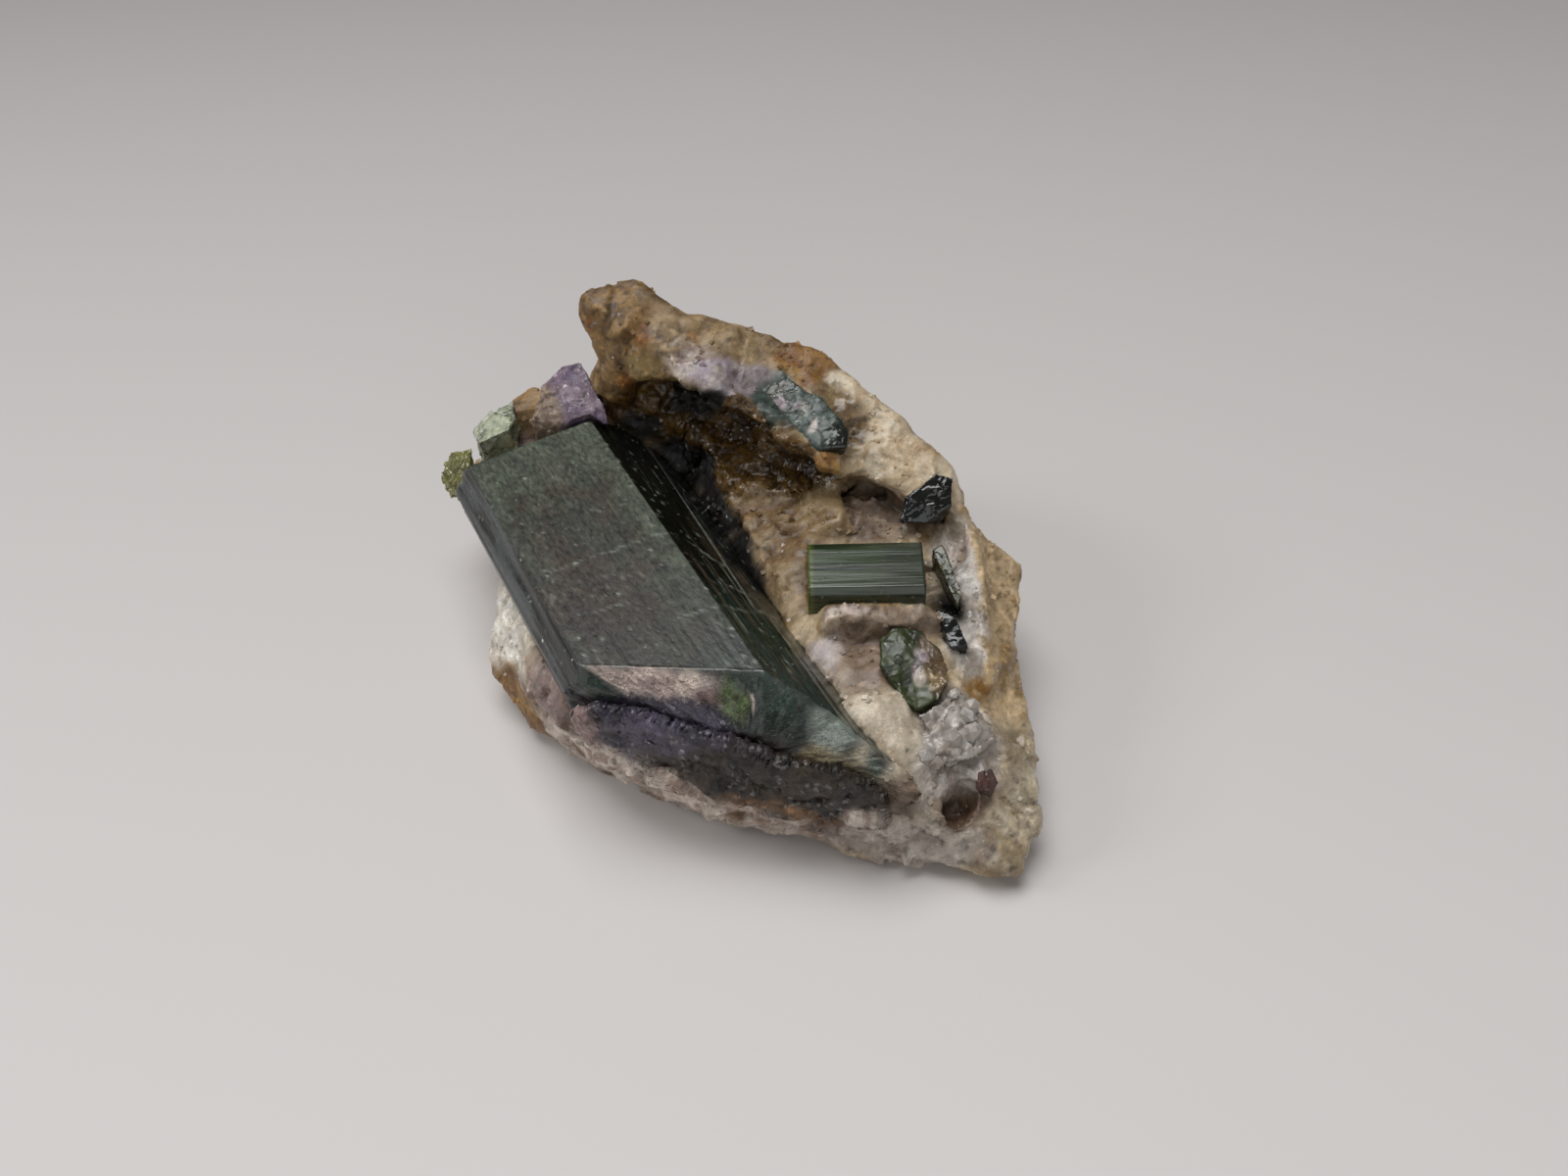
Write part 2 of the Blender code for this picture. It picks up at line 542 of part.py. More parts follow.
def make_glassy_cluster(model):
    """The broken, glassy green grains below the small prism, grown into one knot."""
    corners = [
        (7.0, -8.4, 7.4), (7.6, -8.0, 7.7), (9.0, -8.2, 7.5), (9.7, -9.2, 7.2), (9.8, -10.6, 6.9),
        (9.2, -11.6, 6.6), (8.1, -12.1, 6.5), (7.3, -11.2, 6.9), (6.8, -9.8, 7.3),
        (7.4, -8.8, 5.6), (9.3, -9.2, 5.6), (9.0, -11.4, 5.2), (7.8, -11.2, 5.4),
    ]
    return rough_block(
        "glassy_tourmaline_knot", corners, "olive_verdelite", model, cuts=3, swell=0.3, grain=0.16, seed=2.0
    )


def make_lepidolite(model):
    """The lilac mica: the book behind the main prism, and the seam across its broken front."""
    book = [
        (-9.6, 7.0, 9.6), (-8.9, 9.3, 10.2), (-7.8, 9.8, 10.9), (-6.7, 9.3, 11.5),
        (-6.2, 8.0, 11.0), (-5.6, 6.9, 10.2), (-5.5, 6.3, 9.6), (-9.4, 6.6, 7.0),
        (-9.0, 9.2, 7.2), (-6.8, 9.2, 7.2), (-6.0, 6.9, 7.2),
    ]
    seam = [
        (-7.2, -10.9, 6.9), (-6.9, -11.2, 7.4), (-5.6, -11.2, 8.1), (-0.3, -12.3, 8.0),
        (2.1, -13.7, 7.3), (4.4, -14.9, 6.5), (6.1, -15.7, 5.6), (-7.5, -10.3, 5.4),
        (-6.4, -11.6, 4.6), (-2.6, -13.5, 4.2), (1.6, -14.9, 3.9), (5.9, -16.1, 3.9),
        (-6.4, -9.9, 4.4), (-1.0, -11.8, 4.0), (5.4, -14.6, 4.2),
    ]
    made = [
        rough_block("lepidolite_book", book, "lepidolite", model, seed=10.0),
        rough_block(
            "lepidolite_seam", seam, "lepidolite", model, cuts=3, swell=0.25, grain=0.16, seed=11.0, tilt=0.2
        ),
    ]
    return made


def make_pale_minerals(model):
    """The sugary quartz on the front right, the clear blade beside the pit, and a tiny garnet."""
    druse = [
        (8.2, -12.3, 6.5), (8.8, -11.9, 6.8), (10.0, -11.2, 6.7), (11.3, -12.2, 6.1),
        (11.7, -13.2, 5.3), (10.4, -14.0, 5.2), (9.2, -14.3, 5.3), (8.4, -14.2, 5.6),
        (8.6, -12.4, 4.6), (11.0, -12.6, 4.2), (9.2, -13.8, 4.2), (10.4, -13.4, 4.2),
    ]
    garnet = [
        (10.6, -14.6, 4.9), (11.2, -14.5, 4.9), (11.4, -15.1, 4.6), (11.0, -15.4, 4.4),
        (10.5, -15.2, 4.5), (10.7, -14.9, 3.5), (11.2, -15.1, 3.5),
    ]
    made = [
        rough_block("sugary_quartz", druse, "quartz", model, cuts=3, swell=0.25, grain=0.14, seed=12.0),
        rough_block("garnet", garnet, "garnet", model, cuts=1, swell=0.03, grain=0.02, seed=13.0),
    ]
    return made


def move_to_origin(objects):
    """Puts the origin at the middle of the bounding box, on the base plane."""
    for body in objects:
        body.data.transform(Matrix.Translation(ORIGIN_MOVE * MM))


def main():
    clear_scene()
    model = new_collection("verdelite_tourmaline")
    helpers = new_collection("cutters")
    prism = make_main_prism(model, helpers)
    crystals = [make_small_prism(model), *make_little_crystals(model), make_glassy_cluster(model)]
    minerals = [*make_lepidolite(model), *make_pale_minerals(model)]
    prism_pocket = pocket_for(prism, helpers)
    others = [pocket_for(body, helpers) for body in [*crystals, *minerals]]
    for body in minerals[:2]:
        cut(body, prism_pocket)
        keep_largest_piece(baked(body))
    make_matrix([prism_pocket, *others], model, helpers)
    move_to_origin([*model.objects, *helpers.objects])


main()
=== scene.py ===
"""Verdelite tourmaline specimen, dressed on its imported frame.

A loose piece of pegmatite about 30 mm across: a long striated green tourmaline prism and smaller
crystals stand in a broken block of feldspar, albite, quartz and lilac mica. Places are given in
millimetres in the survey frame, in which the block was measured, and are moved to the frame of the
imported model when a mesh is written.
"""

import logging
import math
from dataclasses import dataclass
from enum import Enum
from functools import partial

import bmesh
import bpy
import numpy as np
from mathutils import Matrix, Vector
from mathutils.bvhtree import BVHTree

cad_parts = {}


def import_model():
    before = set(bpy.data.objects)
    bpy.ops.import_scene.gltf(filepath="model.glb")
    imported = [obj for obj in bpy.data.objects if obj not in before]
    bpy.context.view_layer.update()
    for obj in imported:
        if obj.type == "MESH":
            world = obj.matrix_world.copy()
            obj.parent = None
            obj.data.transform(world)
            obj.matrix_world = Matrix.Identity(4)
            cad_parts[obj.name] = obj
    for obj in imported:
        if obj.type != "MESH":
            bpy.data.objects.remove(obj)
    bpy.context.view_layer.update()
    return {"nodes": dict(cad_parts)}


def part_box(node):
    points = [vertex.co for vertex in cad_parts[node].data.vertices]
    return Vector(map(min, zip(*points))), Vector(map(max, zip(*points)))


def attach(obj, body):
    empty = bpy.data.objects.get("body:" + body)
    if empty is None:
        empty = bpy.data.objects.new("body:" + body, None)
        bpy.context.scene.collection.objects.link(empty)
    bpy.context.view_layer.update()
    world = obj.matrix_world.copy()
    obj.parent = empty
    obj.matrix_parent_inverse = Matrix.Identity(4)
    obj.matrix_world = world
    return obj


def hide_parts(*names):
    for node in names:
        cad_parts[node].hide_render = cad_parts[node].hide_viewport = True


LOG = logging.getLogger("specimen")
MM = 0.001
SURVEY_MOVE = np.array((0.02, 3.79, 0.0))  # mm from the survey frame to the model's own frame
BODY = "root"
FLAT_BASE = 0.35  # mm of height in which the relief dies out, so that the specimen stands flat
EYE = (-0.05467402, -44.31059802, 51.256584)  # mm, survey frame
EYE_RIGHT = (0.99479636, -0.0988932, -0.02450167)
EYE_DOWN = (-0.08967344, -0.73572792, -0.67131445)
EYE_AHEAD = (0.04836188, 0.67001833, -0.74076756)
FOCAL_PIXELS = 1235.0
IMAGE_WIDTH = 1600.0
SENSOR = 36.0
INSET = 0.002  # mm that a trimmed surface stays in from the sides of its box
# Painted highlight: the pale colour that glints are mixed towards, and how far.
GLINT_HIGHLIGHT_COLOUR = (0.75, 0.74, 0.7, 1.0)  # linear, of a small face that mirrors the light
GLINT_HIGHLIGHT_STRENGTH = 0.16
GLINT_ROUGH = 0.08


# Numbers and patterns.


def linear(code: str) -> tuple[float, float, float]:
    """Turns an sRGB hex colour into linear red, green and blue.

    Args:
        code: The colour, such as "#8A744F".

    Returns:
        The three linear channels.
    """
    parts = [int(code[i : i + 2], 16) / 255 for i in (1, 3, 5)]
    red, green, blue = [p / 12.92 if p <= 0.04045 else ((p + 0.055) / 1.055) ** 2.4 for p in parts]
    return red, green, blue


def smooth_step(values: np.ndarray, low: float, high: float) -> np.ndarray:
    """Rises smoothly from 0 at low to 1 at high, or falls if low is the larger.

    Args:
        values: Any numbers.
        low: Where the result is 0.
        high: Where the result is 1.

    Returns:
        Numbers from 0 to 1.
    """
    t = np.clip((values - low) / (high - low), 0.0, 1.0)
    return t * t * (3.0 - 2.0 * t)


def lattice(cells: np.ndarray, seed: int) -> np.ndarray:
    """Gives each whole-numbered cell a fixed number from 0 to 1.

    Args:
        cells: Whole numbers, three to a row.
        seed: Picks another set of numbers.

    Returns:
        One number for each row.
    """
    c = cells.astype(np.int64)
    h = (c[..., 0] * 73856093) ^ (c[..., 1] * 19349663) ^ (c[..., 2] * 83492791) ^ (seed * 2654435761)
    h &= 0xFFFFFFFF
    for _ in range(2):
        h = ((h ^ (h >> 16)) * 0x45D9F3B) & 0xFFFFFFFF
    return (h ^ (h >> 16)) / 4294967295.0


def noise(points: np.ndarray, size: float, seed: int, layers: int = 1) -> np.ndarray:
    """Smooth noise from about -1 to 1, whose lumps are about size across.

    Args:
        points: Places in mm, three to a row.
        size: Width of the largest lumps in mm.
        seed: Picks another pattern.
        layers: How many times a pattern of half the size is added.

    Returns:
        One number for each place.
    """
    total = np.zeros(len(points))
    weight = 0.0
    for layer in range(layers):
        share = 0.55**layer
        p = points * (2.0**layer / size) + 17.3 * layer
        base = np.floor(p)
        t = p - base
        t = t * t * (3.0 - 2.0 * t)
        for corner in np.ndindex(2, 2, 2):
            c = np.array(corner)
            part = np.prod(np.where(c, t, 1.0 - t), axis=1)
            total += share * part * (lattice(base + c, seed + layer) * 2.0 - 1.0)
        weight += share
    return total / weight * 1.6


def marble(points: np.ndarray, size: float, seed: int) -> np.ndarray:
    """Noise from about -1 to 1 that is drawn out in wisps, as minerals mixed by growth are.

    Args:
        points: Places in mm, three to a row.
        size: Width of the largest wisps in mm.
        seed: Picks another pattern.

    Returns:
        One number for each place.
    """
    bend = np.stack([noise(points, size * 0.8, seed + k, 2) for k in (61, 62, 63)], axis=1)
    return noise(points + 0.7 * size * bend, size, seed, 3)


def facets(points: np.ndarray, size: float, seed: int) -> np.ndarray:
    """Tilted fracture faces with low steps between them, from about -1 to 1.

    Args:
        points: Places in mm, three to a row.
        size: Width of a face in mm.
        seed: Picks another pattern.

    Returns:
        Height of each place.
    """
    stray = 0.14 * size * noise(points, size * 0.5, seed + 3, 2)
    _, _, number, way = grains(points + stray[:, None], size, seed)
    tilt = np.stack([np.cos(number * 61.0), np.sin(number * 83.0), np.cos(number * 47.0)], axis=1)
    return (way * tilt).sum(1) * 1.5 + (number - 0.5) * 0.5


def grains(
    points: np.ndarray, size: float, seed: int
) -> tuple[np.ndarray, np.ndarray, np.ndarray, np.ndarray]:
    """Splits space into irregular grains.

    Args:
        points: Places in mm, three to a row.
        size: Width of a grain in mm.
        seed: Picks another pattern.

    Returns:
        Distance to the grain's heart, distance left to the grain's edge, a number of the grain from
        0 to 1, and the way from its heart, all in grain widths.
    """
    p = points / size
    base = np.floor(p)
    near = np.full(len(p), 9.0)
    second = np.full(len(p), 9.0)
    number = np.zeros(len(p))
    way = np.zeros((len(p), 3))
    for corner in np.ndindex(3, 3, 3):
        cell = base + np.array(corner) - 1
        heart = cell + np.stack([lattice(cell, seed + k) for k in (11, 12, 13)], axis=1)
        step = p - heart
        far = np.sqrt((step * step).sum(1))
        closer = far < near
        second = np.where(closer, near, np.minimum(second, far))
        near = np.where(closer, far, near)
        number = np.where(closer, lattice(cell, seed + 14), number)
        way = np.where(closer[:, None], step, way)
    return near, second - near, number, way


def blend(low: np.ndarray, high: np.ndarray, share: np.ndarray) -> np.ndarray:
    """Mixes two colours or rows of colours by one share each.

    Args:
        low: Colour at share 0.
        high: Colour at share 1.
        share: One number for each row.

    Returns:
        A colour for each row.
    """
    s = np.clip(share, 0.0, 1.0)[:, None]
    return np.asarray(low) * (1.0 - s) + np.asarray(high) * s


# Minerals.


class Habit(Enum):
    """How a mineral breaks or grows, which sets the relief of its surface."""

    GRANULAR = "sugary grains"
    LAYERED = "ledges of thin sheets"
    CHIPPED = "small tilted fracture faces"
    CLEAVED = "flat terraces on cleavage planes"
    MASSIVE = "soft swells"


@dataclass(frozen=True)
class Mineral:
    """Colours, grain and relief of one mineral in the rock.

    The colours are the common one, the one it is mottled with, and the crack stain, also painted shade.
    """

    base: str
    mottle: str
    stain_and_shade: str
    grain: float  # mm
    relief: float  # mm
    rough: float
    habit: Habit
    lay: tuple[float, float, float] = (0.0, 0.0, 1.0)
    block: float = 0.2  # mm of broad fracture faces under the fine relief

    def height(self, points: np.ndarray, seed: int) -> tuple[np.ndarray, np.ndarray, np.ndarray]:
        """Works out the relief of this mineral.

        Args:
            points: Places in mm.
            seed: Picks another pattern.

        Returns:
            The relief in mm, how deep in a crack each place is from 0 to 1, and a tone from 0 to 1
            that differs from grain to grain.
        """
        fine = noise(points, self.grain * 0.45, seed + 5, 2)
        if self.habit is Habit.LAYERED:
            lay = np.array(self.lay)
            level = points @ lay / self.grain + 0.9 * noise(points, 2.2, seed, 2) + 0.25 * fine
            sheet = np.floor(level)
            part = level - sheet
            ledge = lattice(np.stack([sheet, sheet * 0, sheet * 0], axis=1), seed)
            shape = ledge * 1.6 - 0.8 - 0.35 * part + 0.3 * fine
            crack = smooth_step(part, 0.2, 0.0)
            return shape * self.relief, crack, ledge
        near, edge, number, way = grains(points + 0.12 * self.grain * fine[:, None], self.grain, seed)
        crack = smooth_step(edge, 0.1, 0.0) * (number > 0.6)
        if self.habit is Habit.GRANULAR:
            shape = 0.9 - 1.7 * near + 0.35 * fine + 0.5 * (number - 0.5)
        elif self.habit is Habit.CHIPPED:
            tilt = np.stack([np.cos(number * 61.0), np.sin(number * 83.0), np.cos(number * 47.0)], axis=1)
            shape = (way * tilt).sum(1) * 1.5 + (number - 0.5) * 0.8 + 0.12 * fine
        elif self.habit is Habit.CLEAVED:
            level = points @ np.array(self.lay) / self.grain + 0.22 * noise(points, 2.5, seed, 2)
            shape = (np.round(level) - level) * 1.6 + 0.1 * fine
            crack = smooth_step(np.abs(level - np.floor(level) - 0.5), 0.08, 0.0)
            number = lattice(np.stack([np.round(level)] * 3, axis=1), seed)
        else:
            shape = noise(points, self.grain, seed, 3)
            crack = smooth_step(shape, -0.35, -0.8)
            number = 0.5 + 0.5 * noise(points, self.grain * 2.0, seed + 9)
        return shape * self.relief, crack, number


class Stone(Enum):
    """Every mineral and weathered skin on the specimen, and the painted shade in its hollows."""

    CREAM_FELDSPAR = Mineral("#BDA989", "#8A7048", "#4E3419", 0.6, 0.035, 0.5, Habit.CHIPPED, block=0.11)
    RIDGE_FELDSPAR = Mineral("#D6C9B0", "#BCA584", "#8A6C48", 1.3, 0.03, 0.4, Habit.MASSIVE, block=0.06)
    ALBITE = Mineral("#947F5E", "#6F5536", "#3E2A12", 0.42, 0.06, 0.5, Habit.GRANULAR, block=0.16)
    SMOOTH_ALBITE = Mineral("#A28D6C", "#8A714C", "#5E4423", 0.9, 0.03, 0.42, Habit.MASSIVE, block=0.06)
    KHAKI_SKIN = Mineral("#99794B", "#5B4325", "#33210E", 0.9, 0.025, 0.55, Habit.CHIPPED, block=0.06)
    TAN_PLATE = Mineral("#A78F6B", "#7A6341", "#4C3418", 1.0, 0.02, 0.48, Habit.CHIPPED, block=0.045)
    OLIVE_FACET = Mineral("#A58D5E", "#866F46", "#553F1B", 1.6, 0.03, 0.3, Habit.CHIPPED, block=0.05)
    RUST = Mineral("#A36D34", "#7A4A1E", "#40250D", 0.5, 0.03, 0.6, Habit.CHIPPED, block=0.07)
    RUSTY_BLOCK = Mineral("#97743F", "#7B5429", "#4C2F0F", 0.9, 0.03, 0.5, Habit.CHIPPED, block=0.09)
    # The hollow under the crest: brown glassy lumps, darkened with painted shade.
    HOLLOW_GLASS_AND_SHADE = Mineral("#6A4F27", "#382611", "#0B0704", 1.3, 0.1, 0.26, Habit.CHIPPED, block=0.32)
    # Painted shade: near-black where the hollows lie in shadow.
    CAVERN_PAINTED_SHADE = Mineral("#120D08", "#0A0705", "#040302", 0.8, 0.08, 0.6, Habit.CHIPPED, block=0.3)
    SMOKY_QUARTZ = Mineral("#8B7654", "#665136", "#38281A", 1.0, 0.05, 0.22, Habit.CHIPPED, block=0.13)
    LILAC_MICA = Mineral("#8E8382", "#6F646A", "#4A3A40", 0.5, 0.03, 0.42, Habit.LAYERED, block=0.08)
    PALE_MICA = Mineral("#BDB2A6", "#968991", "#665650", 0.4, 0.03, 0.4, Habit.LAYERED, block=0.05)
    BOOK_MICA = Mineral(
        "#83727E", "#574A5F", "#A08E98", 0.15, 0.03, 0.32, Habit.LAYERED, (0.93, 0.25, -0.2), 0.05
    )
    PINK_MICA = Mineral("#A28D88", "#846D6B", "#634839", 0.4, 0.06, 0.45, Habit.LAYERED, block=0.2)
    VIOLET_SEAM = Mineral(
        "#544E5E", "#25222C", "#131017", 0.3, 0.06, 0.36, Habit.LAYERED, (0.25, 0.1, 0.95), 0.16
    )
    DARK_SEAM = Mineral(
        "#3A2F25", "#17120E", "#0B0806", 0.3, 0.05, 0.42, Habit.LAYERED, (0.15, 0.1, 0.97), 0.16
    )
    RIM_SCALES = Mineral(
        "#D4C7BB", "#978274", "#4C3829", 0.3, 0.06, 0.38, Habit.LAYERED, (-0.2, 0.1, 0.97), 0.18
    )
    RIM_BROWN = Mineral(
        "#8B6A4B", "#634830", "#38250F", 0.32, 0.06, 0.5, Habit.LAYERED, (-0.2, 0.1, 0.97), 0.2
    )
    WHITE_QUARTZ = Mineral("#EDE7DC", "#CBC2B2", "#94805D", 1.1, 0.04, 0.2, Habit.CHIPPED, block=0.2)
    SUGAR_QUARTZ = Mineral("#D9D3CB", "#A89D92", "#77675A", 0.7, 0.05, 0.2, Habit.CHIPPED, block=0.18)
    MAUVE_BED = Mineral("#93806D", "#6F5D4E", "#423225", 0.5, 0.04, 0.48, Habit.CHIPPED, block=0.14)
    STRIPED_BED = Mineral(
        "#A08D79", "#7C6856", "#5A4735", 0.22, 0.035, 0.42, Habit.LAYERED, (0.15, 0.97, 0.1), 0.05
    )
    CREAM_BLOCK = Mineral("#D3C6B1", "#C5B7A0", "#927B5C", 1.3, 0.02, 0.4, Habit.MASSIVE, block=0.05)
    PEARL_PLATE = Mineral(
        "#C6C0B8", "#978D83", "#6B5E52", 0.28, 0.04, 0.26, Habit.LAYERED, (0.97, 0.2, 0.1), 0.05
    )
    KHAKI_EDGE = Mineral(
        "#C4AC88", "#947A52", "#573D1F", 0.4, 0.06, 0.46, Habit.LAYERED, (0.85, 0.45, 0.2), 0.08
    )
    CLEAR_BLADE = Mineral(
        "#BCAF97", "#95846A", "#5E4A32", 0.8, 0.07, 0.22, Habit.CLEAVED, (0.8, 0.2, 0.55), 0.18
    )
    GREY_PLATE = Mineral(
        "#C0B7AB", "#9D9186", "#645343", 0.8, 0.05, 0.3, Habit.CLEAVED, (0.1, -0.8, 0.6), 0.16
    )
    PIT_BROWN = Mineral("#6E5644", "#4B3829", "#24180F", 0.4, 0.08, 0.5, Habit.CHIPPED, block=0.26)
    # Painted shade: the dark inside of the pit.
    PIT_HOLE_PAINTED_SHADE = Mineral("#120C07", "#0A0704", "#050302", 0.4, 0.08, 0.6, Habit.CHIPPED, block=0.2)
    GARNET = Mineral("#523229", "#3C221D", "#28140F", 0.5, 0.03, 0.36, Habit.CHIPPED, block=0.08)
    BLACK_TOURMALINE = Mineral(
        "#12150E", "#0A0C08", "#050504", 0.6, 0.02, 0.14, Habit.CHIPPED, block=0.05
    )
    BLUE_BLACK_TOURMALINE = Mineral(
        "#0F1413", "#080A0A", "#050606", 0.9, 0.012, 0.14, Habit.CHIPPED, block=0.05
    )
    TEAL_TOURMALINE = Mineral("#46534C", "#313E39", "#18221F", 0.4, 0.04, 0.4, Habit.CHIPPED, block=0.06)
    PALE_TOURMALINE = Mineral("#A5AA93", "#818872", "#4E5440", 0.5, 0.05, 0.35, Habit.CHIPPED, block=0.14)
    # Grey-green tourmaline, painted lighter as painted light on the shaded side of the frosted crystal.
    GREY_GREEN_TOURMALINE = Mineral(
        "#A3AA90", "#7F8871", "#3A4235", 0.5, 0.05, 0.3, Habit.CHIPPED, block=0.14
    )
    OLIVE_TOURMALINE = Mineral("#7E7E48", "#605D30", "#383317", 0.6, 0.05, 0.2, Habit.CHIPPED, block=0.18)
    LEAF_TOURMALINE = Mineral("#343F18", "#20290F", "#0F120A", 0.6, 0.03, 0.42, Habit.CHIPPED, block=0.06)
    DEEP_TOURMALINE = Mineral(
        "#46462C", "#30301D", "#15150C", 0.5, 0.015, 0.24, Habit.CHIPPED, block=0.05
    )
    CREAM_MICA = Mineral("#DCCDBD", "#B3A099", "#75625A", 0.35, 0.06, 0.4, Habit.LAYERED, block=0.14)
    TONGUE_TOURMALINE = Mineral(
        "#6F7B52", "#4E5A39", "#232B18", 0.5, 0.05, 0.24, Habit.CHIPPED, block=0.12
    )
    TEAL_END = Mineral("#33413A", "#1D2722", "#0B100D", 0.8, 0.04, 0.22, Habit.CHIPPED, block=0.12)
    CLOUDY_END = Mineral("#8D958C", "#69746B", "#3B3D31", 0.6, 0.04, 0.36, Habit.CHIPPED, block=0.12)
    TAN_END = Mineral("#7C7258", "#5E5640", "#3A3020", 0.45, 0.05, 0.4, Habit.CHIPPED, block=0.16)


@dataclass(frozen=True)
class Zone:
    """A rounded region of the specimen in which one mineral shows."""

    stone: Stone
    centre: tuple[float, float, float]  # mm
    reach: tuple[float, float, float]  # mm


@dataclass(frozen=True)
class Push:
    """A rounded region in which the rock is moved, to form a pit or a ledge."""

    centre: tuple[float, float, float]  # mm
    reach: tuple[float, float, float]  # mm
    move: tuple[float, float, float]  # mm

    def apply(self, points: np.ndarray) -> np.ndarray:
        """Moves the places near the centre, and less towards the edge of the region."""
        near = 1.0 - np.linalg.norm((points - self.centre) / self.reach, ord=4, axis=1)
        return points + smooth_step(near, 0.0, 0.35)[:, None] * np.array(self.move)


PUSHES = (
    Push((7.0, -6.95, 6.9), (3.4, 0.75, 1.6), (0.0, -0.05, 1.2)),
    Push((7.8, 1.2, 7.4), (1.4, 1.2, 1.0), (0.0, 0.0, 0.6)),
    Push((9.6, -14.9, 2.9), (1.1, 0.8, 0.9), (-0.15, 0.35, -0.7)),
)
CREST_ZONES = (
    Zone(Stone.KHAKI_SKIN, (-4.6, 8.0, 15.0), (2.2, 2.4, 1.6)),
    Zone(Stone.KHAKI_SKIN, (-3.0, 9.9, 15.4), (4.5, 1.2, 2.0)),
    Zone(Stone.KHAKI_SKIN, (-5.2, 7.8, 12.6), (1.6, 1.2, 1.8)),
    Zone(Stone.RUST, (-5.6, 8.0, 14.6), (0.5, 0.6, 0.9)),
    Zone(Stone.RUST, (-3.4, 6.9, 14.7), (0.7, 0.5, 0.6)),
    Zone(Stone.RUST, (-0.5, 7.2, 14.5), (0.55, 0.5, 0.4)),
    Zone(Stone.RUST, (-3.6, 6.4, 12.0), (1.4, 0.8, 0.6)),
    Zone(Stone.OLIVE_FACET, (-3.2, 6.0, 13.3), (0.9, 0.9, 0.9)),
    Zone(Stone.TAN_PLATE, (-0.9, 7.2, 14.7), (2.6, 1.8, 1.0)),
    Zone(Stone.TAN_PLATE, (1.9, 7.2, 14.0), (2.4, 1.6, 1.2)),
    Zone(Stone.CREAM_MICA, (-0.9, 6.4, 14.3), (1.4, 1.0, 0.8)),
    Zone(Stone.PALE_MICA, (-0.2, 5.3, 13.6), (0.9, 0.7, 0.6)),
    Zone(Stone.PALE_MICA, (1.0, 5.2, 13.6), (1.0, 0.8, 0.7)),
    Zone(Stone.LILAC_MICA, (2.0, 4.7, 12.9), (1.2, 1.0, 0.8)),
    Zone(Stone.RUSTY_BLOCK, (5.1, 5.9, 12.6), (1.6, 1.3, 1.0)),
    Zone(Stone.SMOKY_QUARTZ, (6.4, 3.6, 11.5), (1.3, 1.7, 1.2)),
    Zone(Stone.SMOKY_QUARTZ, (7.2, 2.4, 10.8), (0.9, 0.9, 1.0)),
    Zone(Stone.RIDGE_FELDSPAR, (8.2, 4.3, 11.8), (1.8, 1.6, 1.4)),
    Zone(Stone.RIDGE_FELDSPAR, (10.0, 2.4, 11.0), (2.0, 1.6, 1.4)),
    Zone(Stone.RIDGE_FELDSPAR, (11.4, 0.6, 10.0), (1.4, 1.6, 1.4)),
    Zone(Stone.RIDGE_FELDSPAR, (9.0, 0.6, 9.8), (1.2, 0.8, 0.7)),
    # The hollow under the crest: brown glassy lumps, darker with painted shade.
    Zone(Stone.HOLLOW_GLASS_AND_SHADE, (1.0, 3.3, 12.5), (1.1, 0.5, 0.55)),
    Zone(Stone.HOLLOW_GLASS_AND_SHADE, (2.4, 2.4, 12.0), (1.1, 0.55, 0.55)),
    Zone(Stone.HOLLOW_GLASS_AND_SHADE, (3.8, 1.2, 11.4), (1.2, 0.55, 0.55)),
    Zone(Stone.RUSTY_BLOCK, (5.3, 0.0, 10.8), (1.2, 0.55, 0.55)),
    Zone(Stone.LILAC_MICA, (1.3, 4.3, 13.0), (1.0, 0.7, 0.6)),
    Zone(Stone.HOLLOW_GLASS_AND_SHADE, (-3.4, 7.0, 10.4), (1.8, 1.4, 1.4)),
    Zone(Stone.HOLLOW_GLASS_AND_SHADE, (-1.0, 6.6, 9.0), (2.0, 1.6, 1.2)),
    Zone(Stone.HOLLOW_GLASS_AND_SHADE, (1.6, 5.0, 9.0), (2.4, 2.0, 1.6)),
    Zone(Stone.HOLLOW_GLASS_AND_SHADE, (3.8, 2.2, 8.9), (2.0, 1.8, 1.4)),
    Zone(Stone.HOLLOW_GLASS_AND_SHADE, (0.6, 3.8, 7.9), (1.9, 1.6, 1.0)),
    # Painted shade: near-black in the hollow under the crest, on its lip and beside the long prism.
    Zone(Stone.CAVERN_PAINTED_SHADE, (-0.4, 7.0, 10.2), (1.4, 1.2, 1.1)),
    Zone(Stone.CAVERN_PAINTED_SHADE, (-1.8, 5.4, 6.9), (1.5, 2.6, 1.1)),
    Zone(Stone.CAVERN_PAINTED_SHADE, (-0.5, 2.6, 6.3), (1.1, 2.4, 0.7)),
    Zone(Stone.CAVERN_PAINTED_SHADE, (1.2, -1.6, 6.1), (0.9, 3.0, 0.6)),
    Zone(Stone.CAVERN_PAINTED_SHADE, (1.0, 4.9, 11.2), (1.6, 1.0, 0.8)),
    Zone(Stone.CAVERN_PAINTED_SHADE, (0.2, 4.0, 12.7), (1.2, 0.5, 0.4)),
    Zone(Stone.CAVERN_PAINTED_SHADE, (-3.4, 6.9, 9.0), (1.4, 0.9, 0.9)),
    Zone(Stone.TEAL_TOURMALINE, (2.9, 4.1, 12.5), (0.9, 1.1, 0.6)),
    Zone(Stone.TEAL_TOURMALINE, (3.6, 5.1, 12.3), (0.7, 0.4, 0.6)),
    Zone(Stone.TEAL_TOURMALINE, (3.3, 3.0, 12.2), (0.9, 0.7, 0.5)),
)
